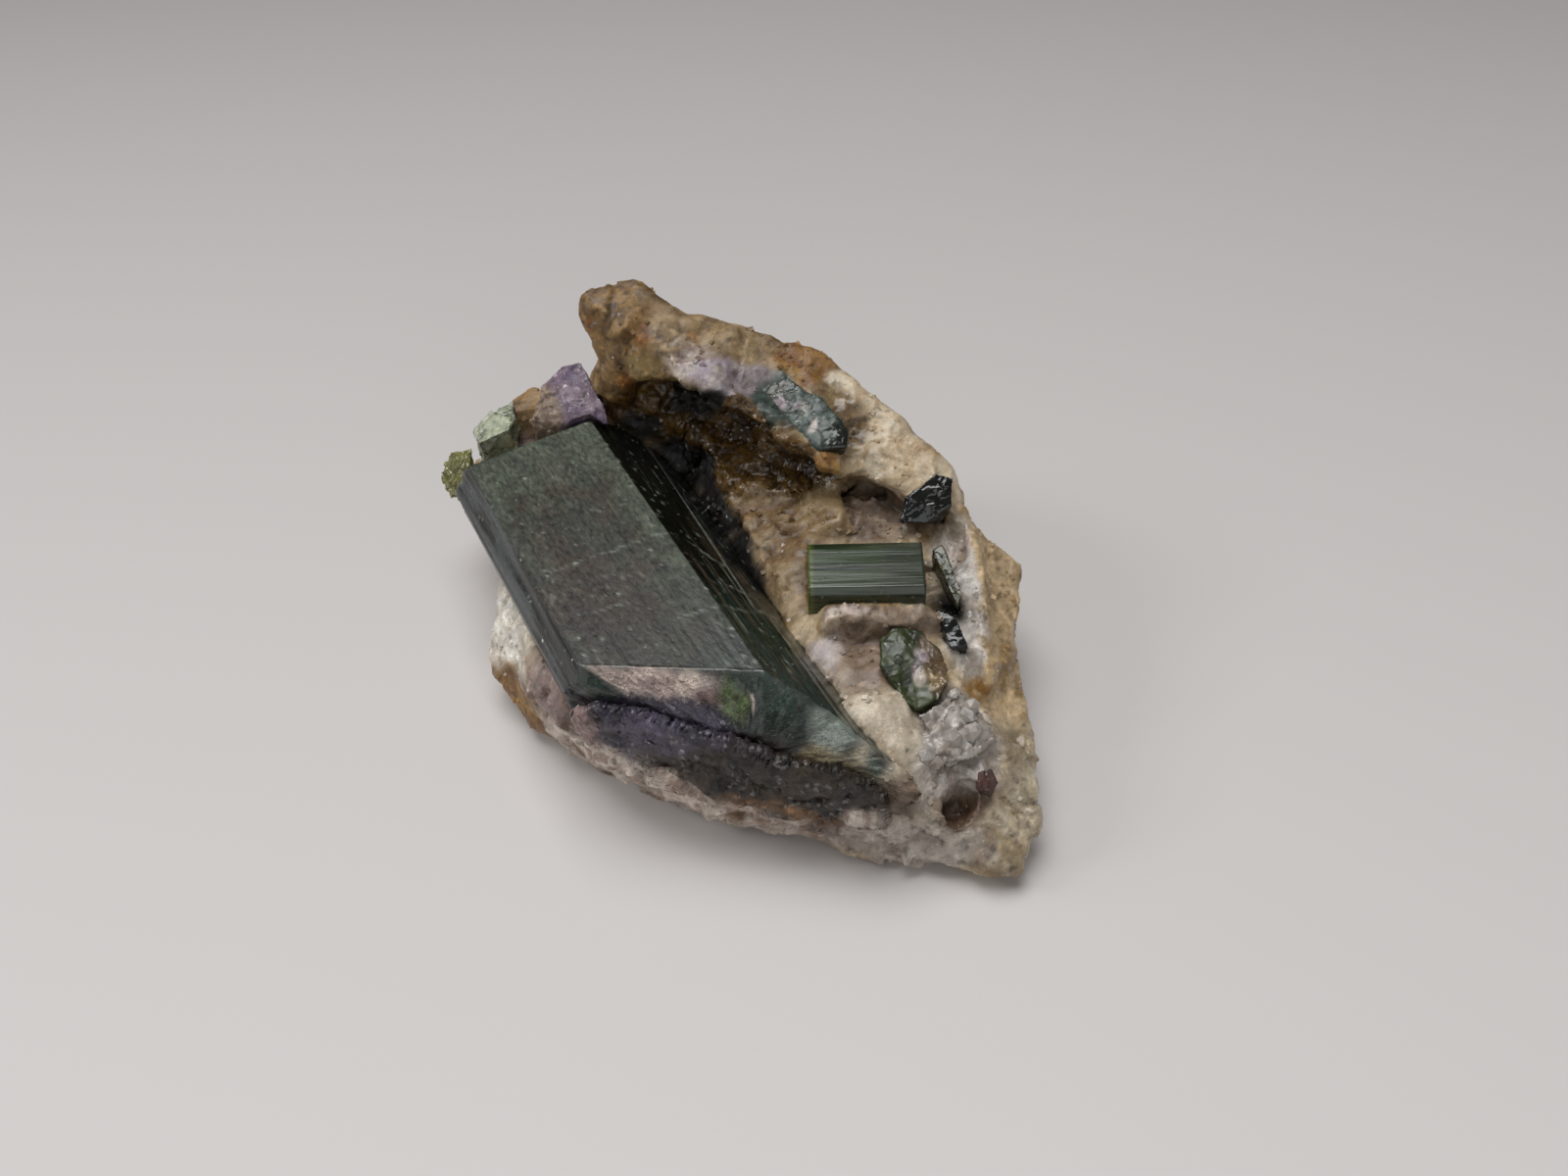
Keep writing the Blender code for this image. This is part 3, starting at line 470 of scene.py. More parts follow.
FLANK_ZONES = (
    Zone(Stone.KHAKI_SKIN, (-9.8, 9.5, 9.6), (0.9, 1.0, 1.4)),
    Zone(Stone.PINK_MICA, (-10.6, 9.0, 6.9), (1.5, 1.0, 0.9)),
    Zone(Stone.ALBITE, (2.8, 0.4, 7.5), (1.3, 1.8, 0.9)),
    Zone(Stone.ALBITE, (3.2, -2.6, 7.2), (1.2, 2.4, 0.9)),
    Zone(Stone.SMOOTH_ALBITE, (5.0, -0.2, 8.3), (1.3, 1.2, 0.8)),
    Zone(Stone.MAUVE_BED, (7.8, -0.4, 7.7), (1.7, 1.3, 0.7)),
    Zone(Stone.CREAM_FELDSPAR, (3.9, -6.4, 6.9), (1.0, 1.4, 0.8)),
    Zone(Stone.PALE_MICA, (4.6, -8.2, 6.8), (0.8, 1.2, 0.7)),
    Zone(Stone.CREAM_MICA, (7.1, -6.75, 8.1), (2.7, 0.45, 0.3)),
    Zone(Stone.MAUVE_BED, (7.0, -7.35, 7.2), (2.6, 0.6, 0.8)),
    Zone(Stone.MAUVE_BED, (8.0, 1.0, 7.4), (1.2, 1.4, 0.7)),
    # Blue-black tourmaline, spread on to the rock round the dark end crystal as painted shade.
    Zone(Stone.BLUE_BLACK_TOURMALINE, (10.6, -5.7, 5.8), (0.75, 1.1, 0.8)),
    Zone(Stone.STRIPED_BED, (6.0, -9.3, 6.5), (1.4, 1.9, 0.8)),
    Zone(Stone.PEARL_PLATE, (11.7, -4.6, 7.4), (0.8, 2.3, 1.3)),
    Zone(Stone.PEARL_PLATE, (11.4, -7.9, 6.3), (0.7, 1.6, 1.2)),
    Zone(Stone.PINK_MICA, (11.8, -2.9, 7.6), (0.5, 0.7, 0.7)),
    Zone(Stone.KHAKI_EDGE, (13.4, -5.0, 6.2), (1.5, 3.4, 1.8)),
    Zone(Stone.KHAKI_EDGE, (12.6, -9.6, 5.2), (1.1, 2.4, 1.8)),
    Zone(Stone.RUSTY_BLOCK, (11.5, -10.0, 5.2), (0.7, 0.7, 0.6)),
    Zone(Stone.CREAM_BLOCK, (6.2, -13.0, 6.3), (1.4, 2.3, 1.3)),
    Zone(Stone.SUGAR_QUARTZ, (9.8, -13.0, 4.8), (2.2, 1.9, 1.5)),
    Zone(Stone.PIT_BROWN, (9.7, -15.4, 2.9), (1.3, 1.1, 1.0)),
    # Painted shade: the dark inside of the pit.
    Zone(Stone.PIT_HOLE_PAINTED_SHADE, (9.6, -14.9, 2.9), (0.8, 0.6, 0.7)),
    Zone(Stone.CLEAR_BLADE, (12.7, -13.6, 3.8), (1.2, 1.9, 1.8)),
    Zone(Stone.CLEAR_BLADE, (12.4, -16.4, 2.2), (1.4, 1.6, 1.6)),
    Zone(Stone.GREY_PLATE, (7.6, -16.4, 2.1), (3.0, 1.0, 1.3)),
    Zone(Stone.GREY_PLATE, (4.4, -15.8, 2.2), (1.4, 0.9, 0.9)),
    Zone(Stone.RIM_SCALES, (-9.0, -8.6, 3.0), (1.8, 1.8, 1.6)),
    Zone(Stone.RIM_SCALES, (-6.0, -11.0, 2.6), (2.2, 1.8, 2.0)),
    Zone(Stone.RIM_SCALES, (-2.2, -13.0, 2.6), (2.6, 1.6, 1.9)),
    Zone(Stone.RIM_SCALES, (1.4, -14.4, 2.4), (2.4, 1.4, 1.7)),
    Zone(Stone.RIM_BROWN, (-4.2, -12.0, 3.4), (0.9, 0.8, 0.7)),
    Zone(Stone.RIM_BROWN, (-0.6, -13.8, 1.9), (0.8, 0.6, 0.35)),
    Zone(Stone.RIM_BROWN, (3.2, -15.2, 3.0), (1.6, 0.7, 0.8)),
    Zone(Stone.DARK_SEAM, (4.9, -15.2, 4.6), (2.0, 0.9, 0.9)),
    Zone(Stone.RIM_BROWN, (-6.4, -11.0, 3.2), (0.7, 0.6, 0.4)),
    Zone(Stone.RIM_BROWN, (-2.4, -13.2, 3.2), (0.8, 0.6, 0.35)),
    Zone(Stone.RIM_BROWN, (0.8, -14.5, 1.8), (0.8, 0.6, 0.4)),
    Zone(Stone.RIM_BROWN, (-7.6, -9.8, 2.2), (0.7, 0.6, 0.4)),
    Zone(Stone.WHITE_QUARTZ, (-10.9, -1.6, 4.6), (1.6, 2.6, 2.2)),
    Zone(Stone.WHITE_QUARTZ, (-10.4, -4.4, 4.6), (1.3, 1.6, 1.4)),
    Zone(Stone.RUSTY_BLOCK, (-11.0, -6.2, 2.4), (1.5, 1.7, 1.7)),
    Zone(Stone.PINK_MICA, (-8.6, -8.2, 4.6), (1.4, 1.3, 1.1)),
    Zone(Stone.CREAM_FELDSPAR, (-8.0, 6.0, 6.0), (2.0, 3.0, 2.0)),
)


@dataclass(frozen=True)
class Painter:
    """Gives every place on a piece its mineral, and from that its colour, gloss and relief."""

    ground: Stone
    zones: tuple[Zone, ...] = ()
    ground_pull: float = -0.55
    edge: float = 7.0
    wander: float = 0.55  # mm that the borders between minerals stray
    seed: int = 1

    def shares(self, points: np.ndarray) -> dict[Stone, np.ndarray]:
        """Works out how much of each mineral shows at each place.

        Args:
            points: Places in mm.

        Returns:
            For each mineral, one share for each place; the shares of a place add up to 1.
        """
        stray = np.stack([noise(points, 1.6, self.seed + k, 3) for k in range(3)], axis=1)
        p = points + self.wander * stray
        pull: dict[Stone, np.ndarray] = {self.ground: np.full(len(p), self.ground_pull)}
        for zone in self.zones:
            near = 1.0 - np.linalg.norm((p - zone.centre) / zone.reach, axis=1)
            pull[zone.stone] = np.maximum(pull.get(zone.stone, -9.0), near)
        raised = {stone: np.exp(self.edge * value) for stone, value in pull.items()}
        total = sum(raised.values())
        return {stone: value / total for stone, value in raised.items()}

    def coat(self, points: np.ndarray) -> tuple[np.ndarray, np.ndarray, np.ndarray]:
        """Works out relief, colour and roughness together: stain in cracks, painted shade in low places.

        Args:
            points: Places in mm.

        Returns:
            Relief in mm, linear colours with alpha, and roughness from 0 to 1.
        """
        count = len(points)
        relief, rough = np.zeros(count), np.zeros(count)
        tint = np.zeros((count, 3))
        cloud = marble(points, 2.2, self.seed + 31)
        wisp = marble(points, 0.9, self.seed + 33)
        speck = noise(points, 0.28, self.seed + 32, 2)
        vein = smooth_step(np.abs(wisp), 0.07, 0.0)
        heart, _, pick, _ = grains(points, 0.36, self.seed + 36)
        single = smooth_step(heart, 0.55, 0.3) * (0.45 * (pick > 0.86) - 0.4 * (pick < 0.12))
        broad = sum(
            share * facets(points, size, self.seed + round(10 * size))
            for share, size in ((0.85, 2.5), (0.5, 1.2), (0.22, 0.6))
        )
        for order, (stone, share) in enumerate(self.shares(points).items()):
            here = share > 0.02
            if not here.any():
                continue
            look = stone.value
            flecks = 0.45 if look.habit is Habit.MASSIVE else 1.0
            height, crack, tone = look.height(points[here], self.seed + 101 * order)
            mottled = 0.7 * cloud[here] + 0.4 * wisp[here] + 0.25 * (tone - 0.5)
            mottled += 0.15 * speck[here] + 0.45
            colour = blend(linear(look.base), linear(look.mottle), smooth_step(mottled, 0.1, 0.9))
            # Painted shade: low places of the relief darken towards the stain colour, as stain does in
            # cracks.
            low = smooth_step(-height / max(look.relief, 0.01) - broad[here], 0.3, 2.0)
            colour = blend(colour, linear(look.stain_and_shade), 0.35 * crack + 0.6 * low)
            colour = blend(colour, np.array(linear(look.base)) * 1.35, 0.3 * vein[here])
            colour *= (1.0 + flecks * (0.2 * speck[here] + 0.18 * (tone - 0.5) + single[here]))[:, None]
            part = share[here]
            relief[here] += part * (0.7 * height + look.block * broad[here])
            tint[here] += part[:, None] * colour
            rough[here] += part * (look.rough + 0.12 * speck[here] + 0.1 * (tone - 0.5))
        tint = np.concatenate([np.clip(tint, 0.0, 1.0), np.ones((count, 1))], axis=1)
        return relief, tint, np.clip(rough, 0.06, 0.95)


# Meshes.


def to_survey(mesh: bpy.types.Mesh) -> np.ndarray:
    """Reads a mesh's vertices.

    Args:
        mesh: A mesh in the model's own frame.

    Returns:
        Their places in mm of the survey frame, three to a row.
    """
    flat = np.empty(len(mesh.vertices) * 3, np.float32)
    mesh.vertices.foreach_get("co", flat)
    return flat.reshape(-1, 3).astype(float) / MM - SURVEY_MOVE


def write_points(mesh: bpy.types.Mesh, points: np.ndarray) -> None:
    """Moves a mesh's vertices to places in mm of the survey frame."""
    mesh.vertices.foreach_set("co", ((points + SURVEY_MOVE) * MM).astype(np.float32).ravel())
    mesh.update()


def normals_of(mesh: bpy.types.Mesh) -> np.ndarray:
    """Reads the direction in which the surface faces.

    Args:
        mesh: Any mesh.

    Returns:
        One direction for each vertex.
    """
    flat = np.empty(len(mesh.vertices) * 3, np.float32)
    mesh.vertex_normals.foreach_get("vector", flat)
    return flat.reshape(-1, 3).astype(float)


def store(mesh: bpy.types.Mesh, name: str, values: np.ndarray) -> None:
    """Keeps one number, vector or colour for each vertex under a name.

    Args:
        mesh: The mesh that carries them.
        name: The attribute's name, which the materials read.
        values: One number, three or four to a vertex.
    """
    kinds = {1: ("FLOAT", "value"), 3: ("FLOAT_VECTOR", "vector"), 4: ("FLOAT_COLOR", "color")}
    kind, field = kinds[1 if values.ndim == 1 else values.shape[1]]
    layer = mesh.attributes.get(name) or mesh.attributes.new(name, kind, "POINT")
    layer.data.foreach_set(field, values.astype(np.float32).ravel())


def new_piece(name: str, mesh: bpy.types.Mesh) -> bpy.types.Object:
    """Puts a mesh in the scene as an object at the origin.

    Args:
        name: Name of the object and of its mesh.
        mesh: The mesh, with its place in it.

    Returns:
        The new object.
    """
    mesh.name = name
    piece = bpy.data.objects.new(name, mesh)
    bpy.context.scene.collection.objects.link(piece)
    return piece


def solid_copy(node: bpy.types.Object, box: tuple[Vector, Vector] | None = None) -> bpy.types.Object:
    """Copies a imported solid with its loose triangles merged, and trims it to a box if one is given.

    Args:
        node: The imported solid, which is left as it is.
        box: Lowest and highest corner in metres of what is kept.

    Returns:
        The copy as a closed mesh.
    """
    mesh = node.data.copy()
    mesh.materials.clear()
    bm = bmesh.new()
    bm.from_mesh(mesh)
    bmesh.ops.remove_doubles(bm, verts=bm.verts, dist=1e-6)
    bm.to_mesh(mesh)
    bm.free()
    copy = new_piece(node.name + "_copy", mesh)
    if box is None:
        return copy
    low, high = box
    bm = bmesh.new()
    bmesh.ops.create_cube(bm, size=1.0)
    for vertex in bm.verts:
        vertex.co = Vector([low[k] if vertex.co[k] < 0 else high[k] for k in range(3)])
    cutter_mesh = bpy.data.meshes.new("trim")
    bm.to_mesh(cutter_mesh)
    bm.free()
    cutter = new_piece("trim", cutter_mesh)
    trim = copy.modifiers.new("trim", "BOOLEAN")
    trim.operation = "INTERSECT"
    trim.solver = "EXACT"
    trim.object = cutter
    apply_modifiers(copy)
    bpy.data.objects.remove(cutter)
    return copy


def apply_modifiers(piece: bpy.types.Object) -> None:
    """Turns a piece with modifiers into a plain mesh.

    Args:
        piece: The piece, which is changed.
    """
    graph = bpy.context.evaluated_depsgraph_get()
    plain = bpy.data.meshes.new_from_object(piece.evaluated_get(graph), depsgraph=graph)
    piece.modifiers.clear()
    old = piece.data
    piece.data = plain
    bpy.data.meshes.remove(old)


def remesh(piece: bpy.types.Object, voxel: float) -> None:
    """Covers a closed piece with even small faces.

    Args:
        piece: The piece, which is changed.
        voxel: Width of a face in mm.
    """
    skin = piece.modifiers.new("skin", "REMESH")
    skin.mode = "VOXEL"
    skin.voxel_size = voxel * MM
    apply_modifiers(piece)


def keep_in_box(points: np.ndarray, low: np.ndarray, high: np.ndarray) -> np.ndarray:
    """Holds places inside a box in mm, a hair in from its sides."""
    return np.clip(points, low + INSET, high - INSET)


def hand_over(piece: bpy.types.Object, nodes: tuple[str, ...], smooth: bool = True) -> None:
    """Rides a finished piece on the body and the solids that it stands for.

    Args:
        piece: The finished piece.
        nodes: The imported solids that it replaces.
        smooth: Whether its faces are shaded as one surface.
    """
    piece.data.polygons.foreach_set("use_smooth", [smooth] * len(piece.data.polygons))
    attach(piece, BODY)
    if nodes:
        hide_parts(*nodes)
    LOG.info("%s: %d faces", piece.name, len(piece.data.polygons))


# Finishes.


def add_node(
    tree: bpy.types.NodeTree, kind: str, inputs: dict | None = None, **settings: object
) -> bpy.types.Node:
    """Adds a node with its settings and links.

    Args:
        tree: The material or geometry tree.
        kind: Blender's name of the node.
        inputs: For each input's name or number, a value or the output socket that feeds it.
        settings: The node's own settings.

    Returns:
        The new node.
    """
    node = tree.nodes.new(kind)
    for name, value in settings.items():
        setattr(node, name, value)
    for name, value in (inputs or {}).items():
        if isinstance(value, bpy.types.NodeSocket):
            tree.links.new(value, node.inputs[name])
        else:
            node.inputs[name].default_value = value
    return node


@dataclass(frozen=True)
class Finish:
    """A mineral surface: its painted colour with fine grain, relief and glints.

    Sizes are in mm along the three pattern axes. A crystal's pattern follows its own "grain"
    attribute, whose first axis runs round the prism and whose second runs along it; the rock's
    follows the object. The grain of the real surfaces goes down to a few hundredths of a
    millimetre, which is less than a pixel, so it is drawn at 0.07 mm and up.
    """

    name: str
    fine: tuple[float, float, float] = (0.09, 0.09, 0.09)
    coarse: tuple[float, float, float] = (0.3, 0.3, 0.3)
    contrast: float = 0.3
    relief: float = 0.05  # mm
    glint: float = 0.18  # mm
    glint_share: float = 0.04
    ior: float = 1.53
    clear: float = 0.0
    depth: float = 0.0  # mm that light strays under the surface
    own_axes: bool = False

    def build(self) -> bpy.types.Material:
        """Builds the material.

        Returns:
            The material, ready for a piece with "tint" and "gloss" attributes.
        """
        material = bpy.data.materials.new(self.name)
        material.use_nodes = True
        tree = material.node_tree
        tree.nodes.clear()
        add = partial(add_node, tree)
        tint = add("ShaderNodeAttribute", attribute_name="tint").outputs["Color"]
        gloss = add("ShaderNodeAttribute", attribute_name="gloss").outputs["Fac"]
        if self.own_axes:
            place = add("ShaderNodeAttribute", attribute_name="grain").outputs["Vector"]
        else:
            place = add("ShaderNodeTexCoord").outputs["Object"]
        unit = 1.0 if self.own_axes else 1.0 / MM
        fine_place, coarse_place, flake_place = [
            add("ShaderNodeMapping", {"Vector": place, "Scale": tuple(unit / s for s in sizes)}).outputs[0]
            for sizes in (self.fine, self.coarse, (self.glint,) * 3)
        ]
        fine, coarse = [
            add("ShaderNodeTexNoise", {"Vector": spot, "Scale": 1.0, "Detail": 3.0}).outputs["Fac"]
            for spot in (fine_place, coarse_place)
        ]
        flake = add("ShaderNodeTexVoronoi", {"Vector": flake_place, "Scale": 1.0}).outputs["Color"]
        # Glints, a few flakes in a hundred: smoother, turned another way, and paler as a painted
        # highlight.
        glint = add(
            "ShaderNodeMapRange",
            {
                "Value": add("ShaderNodeSeparateColor", {"Color": flake}).outputs["Red"],
                "From Min": 1.0 - self.glint_share,
                "From Max": 1.0 - self.glint_share * 0.6,
            },
        ).outputs[0]
        both = add("ShaderNodeMath", {0: fine, 1: coarse}, operation="ADD").outputs[0]
        shade = add(
            "ShaderNodeMapRange",
            {
                "Value": both,
                "From Min": 0.7,
                "From Max": 1.3,
                "To Min": 1.0 - self.contrast,
                "To Max": 1.0 + self.contrast,
            },
        ).outputs[0]
        toned = add("ShaderNodeVectorMath", {0: tint, "Scale": shade}, operation="SCALE").outputs[0]
        # Painted highlight: glints are made paler in the base colour.
        pale = add("ShaderNodeMath", {0: glint, 1: GLINT_HIGHLIGHT_STRENGTH}, operation="MULTIPLY").outputs[0]
        colour = add("ShaderNodeMix", {"Factor": pale, 6: toned, 7: GLINT_HIGHLIGHT_COLOUR}, data_type="RGBA")
        rough_noise = add("ShaderNodeMath", {0: coarse, 1: 0.3, 2: gloss}, operation="MULTIPLY_ADD")
        rough_even = add(
            "ShaderNodeMath", {0: rough_noise.outputs[0], 1: 0.15}, operation="SUBTRACT", use_clamp=True
        )
        rough = add(
            "ShaderNodeMix", {"Factor": glint, 2: rough_even.outputs[0], 3: GLINT_ROUGH}, data_type="FLOAT"
        )
        facet = add("ShaderNodeVectorMath", {0: flake, 1: (0.5, 0.5, 0.5)}, operation="SUBTRACT")
        tilt = add("ShaderNodeVectorMath", {0: facet.outputs[0], "Scale": glint}, operation="SCALE")
        height = add("ShaderNodeMath", {0: fine, 1: 0.3, 2: coarse}, operation="MULTIPLY_ADD").outputs[0]
        bump = add("ShaderNodeBump", {"Height": height, "Distance": self.relief * MM, "Strength": 1.0})
        leaning = add("ShaderNodeVectorMath", {0: bump.outputs[0], 1: tilt.outputs[0]}, operation="ADD")
        facing = add("ShaderNodeVectorMath", {0: leaning.outputs[0]}, operation="NORMALIZE")
        skin = add(
            "ShaderNodeBsdfPrincipled",
            {
                "Base Color": colour.outputs[2],
                "Roughness": rough.outputs[0],
                "Normal": facing.outputs[0],
                "IOR": self.ior,
                "Transmission Weight": self.clear,
                "Subsurface Weight": 0.25 if self.depth else 0.0,
                "Subsurface Radius": (1.0, 0.9, 0.75),
                "Subsurface Scale": max(self.depth, 0.01) * MM,
            },
        )
        add("ShaderNodeOutputMaterial", {"Surface": skin.outputs[0]})
        return material


# Broken feldspar and mica: dull and grainy, with small cleavage faces that catch the light.
ROCK_FINISH = Finish("feldspar_pegmatite_broken", relief=0.03, contrast=0.24, glint_share=0.05, depth=0.25)
# Tourmaline grown as a striated prism: glassy, with fine lines along its length.
PRISM_FINISH = Finish(
    "tourmaline_prism_striated",
    fine=(0.05, 0.35, 0.2),
    coarse=(0.18, 0.45, 0.3),
    contrast=0.65,
    relief=0.02,
    glint=0.13,
    glint_share=0.02,
    ior=1.63,
    own_axes=True,
)
# Small tourmaline prism: the same growth with less wear, so its lines run clean from end to end.
SMALL_PRISM_FINISH = Finish(
    "tourmaline_prism_clear",
    fine=(0.07, 2.0, 0.2),
    coarse=(0.16, 6.0, 0.4),
    contrast=0.32,
    relief=0.014,
    glint=0.12,
    glint_share=0.01,
    ior=1.63,
    own_axes=True,
)
# Tourmaline broken or etched by later fluids: glassy chips and pits.
CHIP_FINISH = Finish(
    "tourmaline_etched",
    fine=(0.08, 0.08, 0.08),
    coarse=(0.35, 0.35, 0.35),
    contrast=0.3,
    relief=0.015,
    glint=0.16,
    glint_share=0.03,
    ior=1.63,
    depth=0.3,
)
# Lepidolite in fine scales: a pearly mica whose sheets flash one by one.
MICA_FINISH = Finish(
    "lepidolite_scales", contrast=0.3, relief=0.025, glint=0.2, glint_share=0.07, ior=1.55, depth=0.2
)
# Quartz in small grains: clear to milky, with glassy faces.
QUARTZ_FINISH = Finish(
    "quartz_sugary", contrast=0.14, relief=0.03, glint=0.24, glint_share=0.1, ior=1.544, clear=0.2
)


# What is strewn on a surface.


class Form(Enum):
    """What is strewn over a surface."""

    GRAIN = "small blunt crystal"
    BLOCK = "square-edged crystal"
    SCALE = "thin six-sided sheet"


@dataclass(frozen=True)
class Scatter:
    """Grains or scales grown over a carrier by Geometry Nodes, thickest where its bed attribute is 1."""

    name: str
    form: Form
    density: float  # for each square mm
    smallest: float  # mm
    largest: float  # mm
    thickness: float
    lean: float  # radians
    seed: int

    def tree(self, material: bpy.types.Material) -> bpy.types.NodeTree:
        """Builds the geometry tree.

        Args:
            material: The finish of the grains.

        Returns:
            The tree, with named inputs for its sizes and seed.
        """
        tree = bpy.data.node_groups.new(self.name + "_tree", "GeometryNodeTree")
        face = tree.interface
        face.new_socket("Geometry", in_out="INPUT", socket_type="NodeSocketGeometry")
        for label in ("Density", "Smallest", "Largest", "Thickness", "Lean"):
            face.new_socket(label, in_out="INPUT", socket_type="NodeSocketFloat")
        face.new_socket("Seed", in_out="INPUT", socket_type="NodeSocketInt")
        face.new_socket("Geometry", in_out="OUTPUT", socket_type="NodeSocketGeometry")
        add = partial(add_node, tree)
        given = add("NodeGroupInput").outputs
        seed = given["Seed"]
        bed = add("GeometryNodeInputNamedAttribute", {"Name": "bed"}, data_type="FLOAT").outputs
        amount = add(
            "ShaderNodeMath", {0: given["Density"], 1: bed["Attribute"]}, operation="MULTIPLY"
        ).outputs[0]
        points = add(
            "GeometryNodeDistributePointsOnFaces",
            {"Mesh": given["Geometry"], "Density": amount, "Seed": seed},
            distribute_method="RANDOM",
        ).outputs
        if self.form is Form.GRAIN:
            shape = add("GeometryNodeMeshIcoSphere", {"Radius": 0.5, "Subdivisions": 1})
        elif self.form is Form.BLOCK:
            shape = add("GeometryNodeMeshCube", {"Size": (1.0, 0.8, 1.2)})
        else:
            shape = add("GeometryNodeMeshCylinder", {"Vertices": 6, "Radius": 0.5, "Depth": 1.0})
        spread = add(
            "FunctionNodeRandomValue",
            {0: (-1.0, -1.0, -3.14), 1: (1.0, 1.0, 3.14), "Seed": seed},
            data_type="FLOAT_VECTOR",
        ).outputs[0]
        limit = add("ShaderNodeCombineXYZ", {"X": given["Lean"], "Y": given["Lean"], "Z": 1.0}).outputs[0]
        turn = add("ShaderNodeVectorMath", {0: spread, 1: limit}, operation="MULTIPLY").outputs[0]
        lean = add("FunctionNodeEulerToRotation", {"Euler": turn}).outputs[0]
        rotation = add(
            "FunctionNodeRotateRotation",
            {"Rotation": points["Rotation"], "Rotate By": lean},
            rotation_space="LOCAL",
        ).outputs[0]
        size = add(
            "FunctionNodeRandomValue",
            {2: given["Smallest"], 3: given["Largest"], "Seed": seed},
            data_type="FLOAT",
        ).outputs[1]
        thin = add("ShaderNodeMath", {0: size, 1: given["Thickness"]}, operation="MULTIPLY").outputs[0]
        scale = add("ShaderNodeCombineXYZ", {"X": size, "Y": size, "Z": thin}).outputs[0]
        grown = add(
            "GeometryNodeInstanceOnPoints",
            {
                "Points": points["Points"],
                "Instance": shape.outputs["Mesh"],
                "Rotation": rotation,
                "Scale": scale,
            },
        ).outputs[0]
        real = add("GeometryNodeRealizeInstances", {"Geometry": grown}).outputs[0]
        dressed = add("GeometryNodeSetMaterial", {"Geometry": real, "Material": material}).outputs[0]
        add("NodeGroupOutput", {"Geometry": dressed})
        return tree

    def grow(
        self, carrier: bpy.types.Object, bed: np.ndarray, material: bpy.types.Material
    ) -> bpy.types.Object:
        """Grows the grains on a carrier.

        Args:
            carrier: The piece that they sit on.
            bed: For each of its vertices, how thickly they grow, from 0 to 1.
            material: Their finish.

        Returns:
            The grains as one plain piece.
        """
        store(carrier.data, "bed", bed)
        host = new_piece(self.name, carrier.data.copy())
        tree = self.tree(material)
        nodes = host.modifiers.new("scatter", "NODES")
        nodes.node_group = tree
        values = {
            "Density": self.density / (MM * MM),
            "Smallest": self.smallest * MM,
            "Largest": self.largest * MM,
            "Thickness": self.thickness,
            "Lean": self.lean,
            "Seed": self.seed,
        }
        for socket in tree.interface.items_tree:
            if socket.in_out == "INPUT" and socket.name in values:
                nodes[socket.identifier] = values[socket.name]
        apply_modifiers(host)
        return host


# The rock.


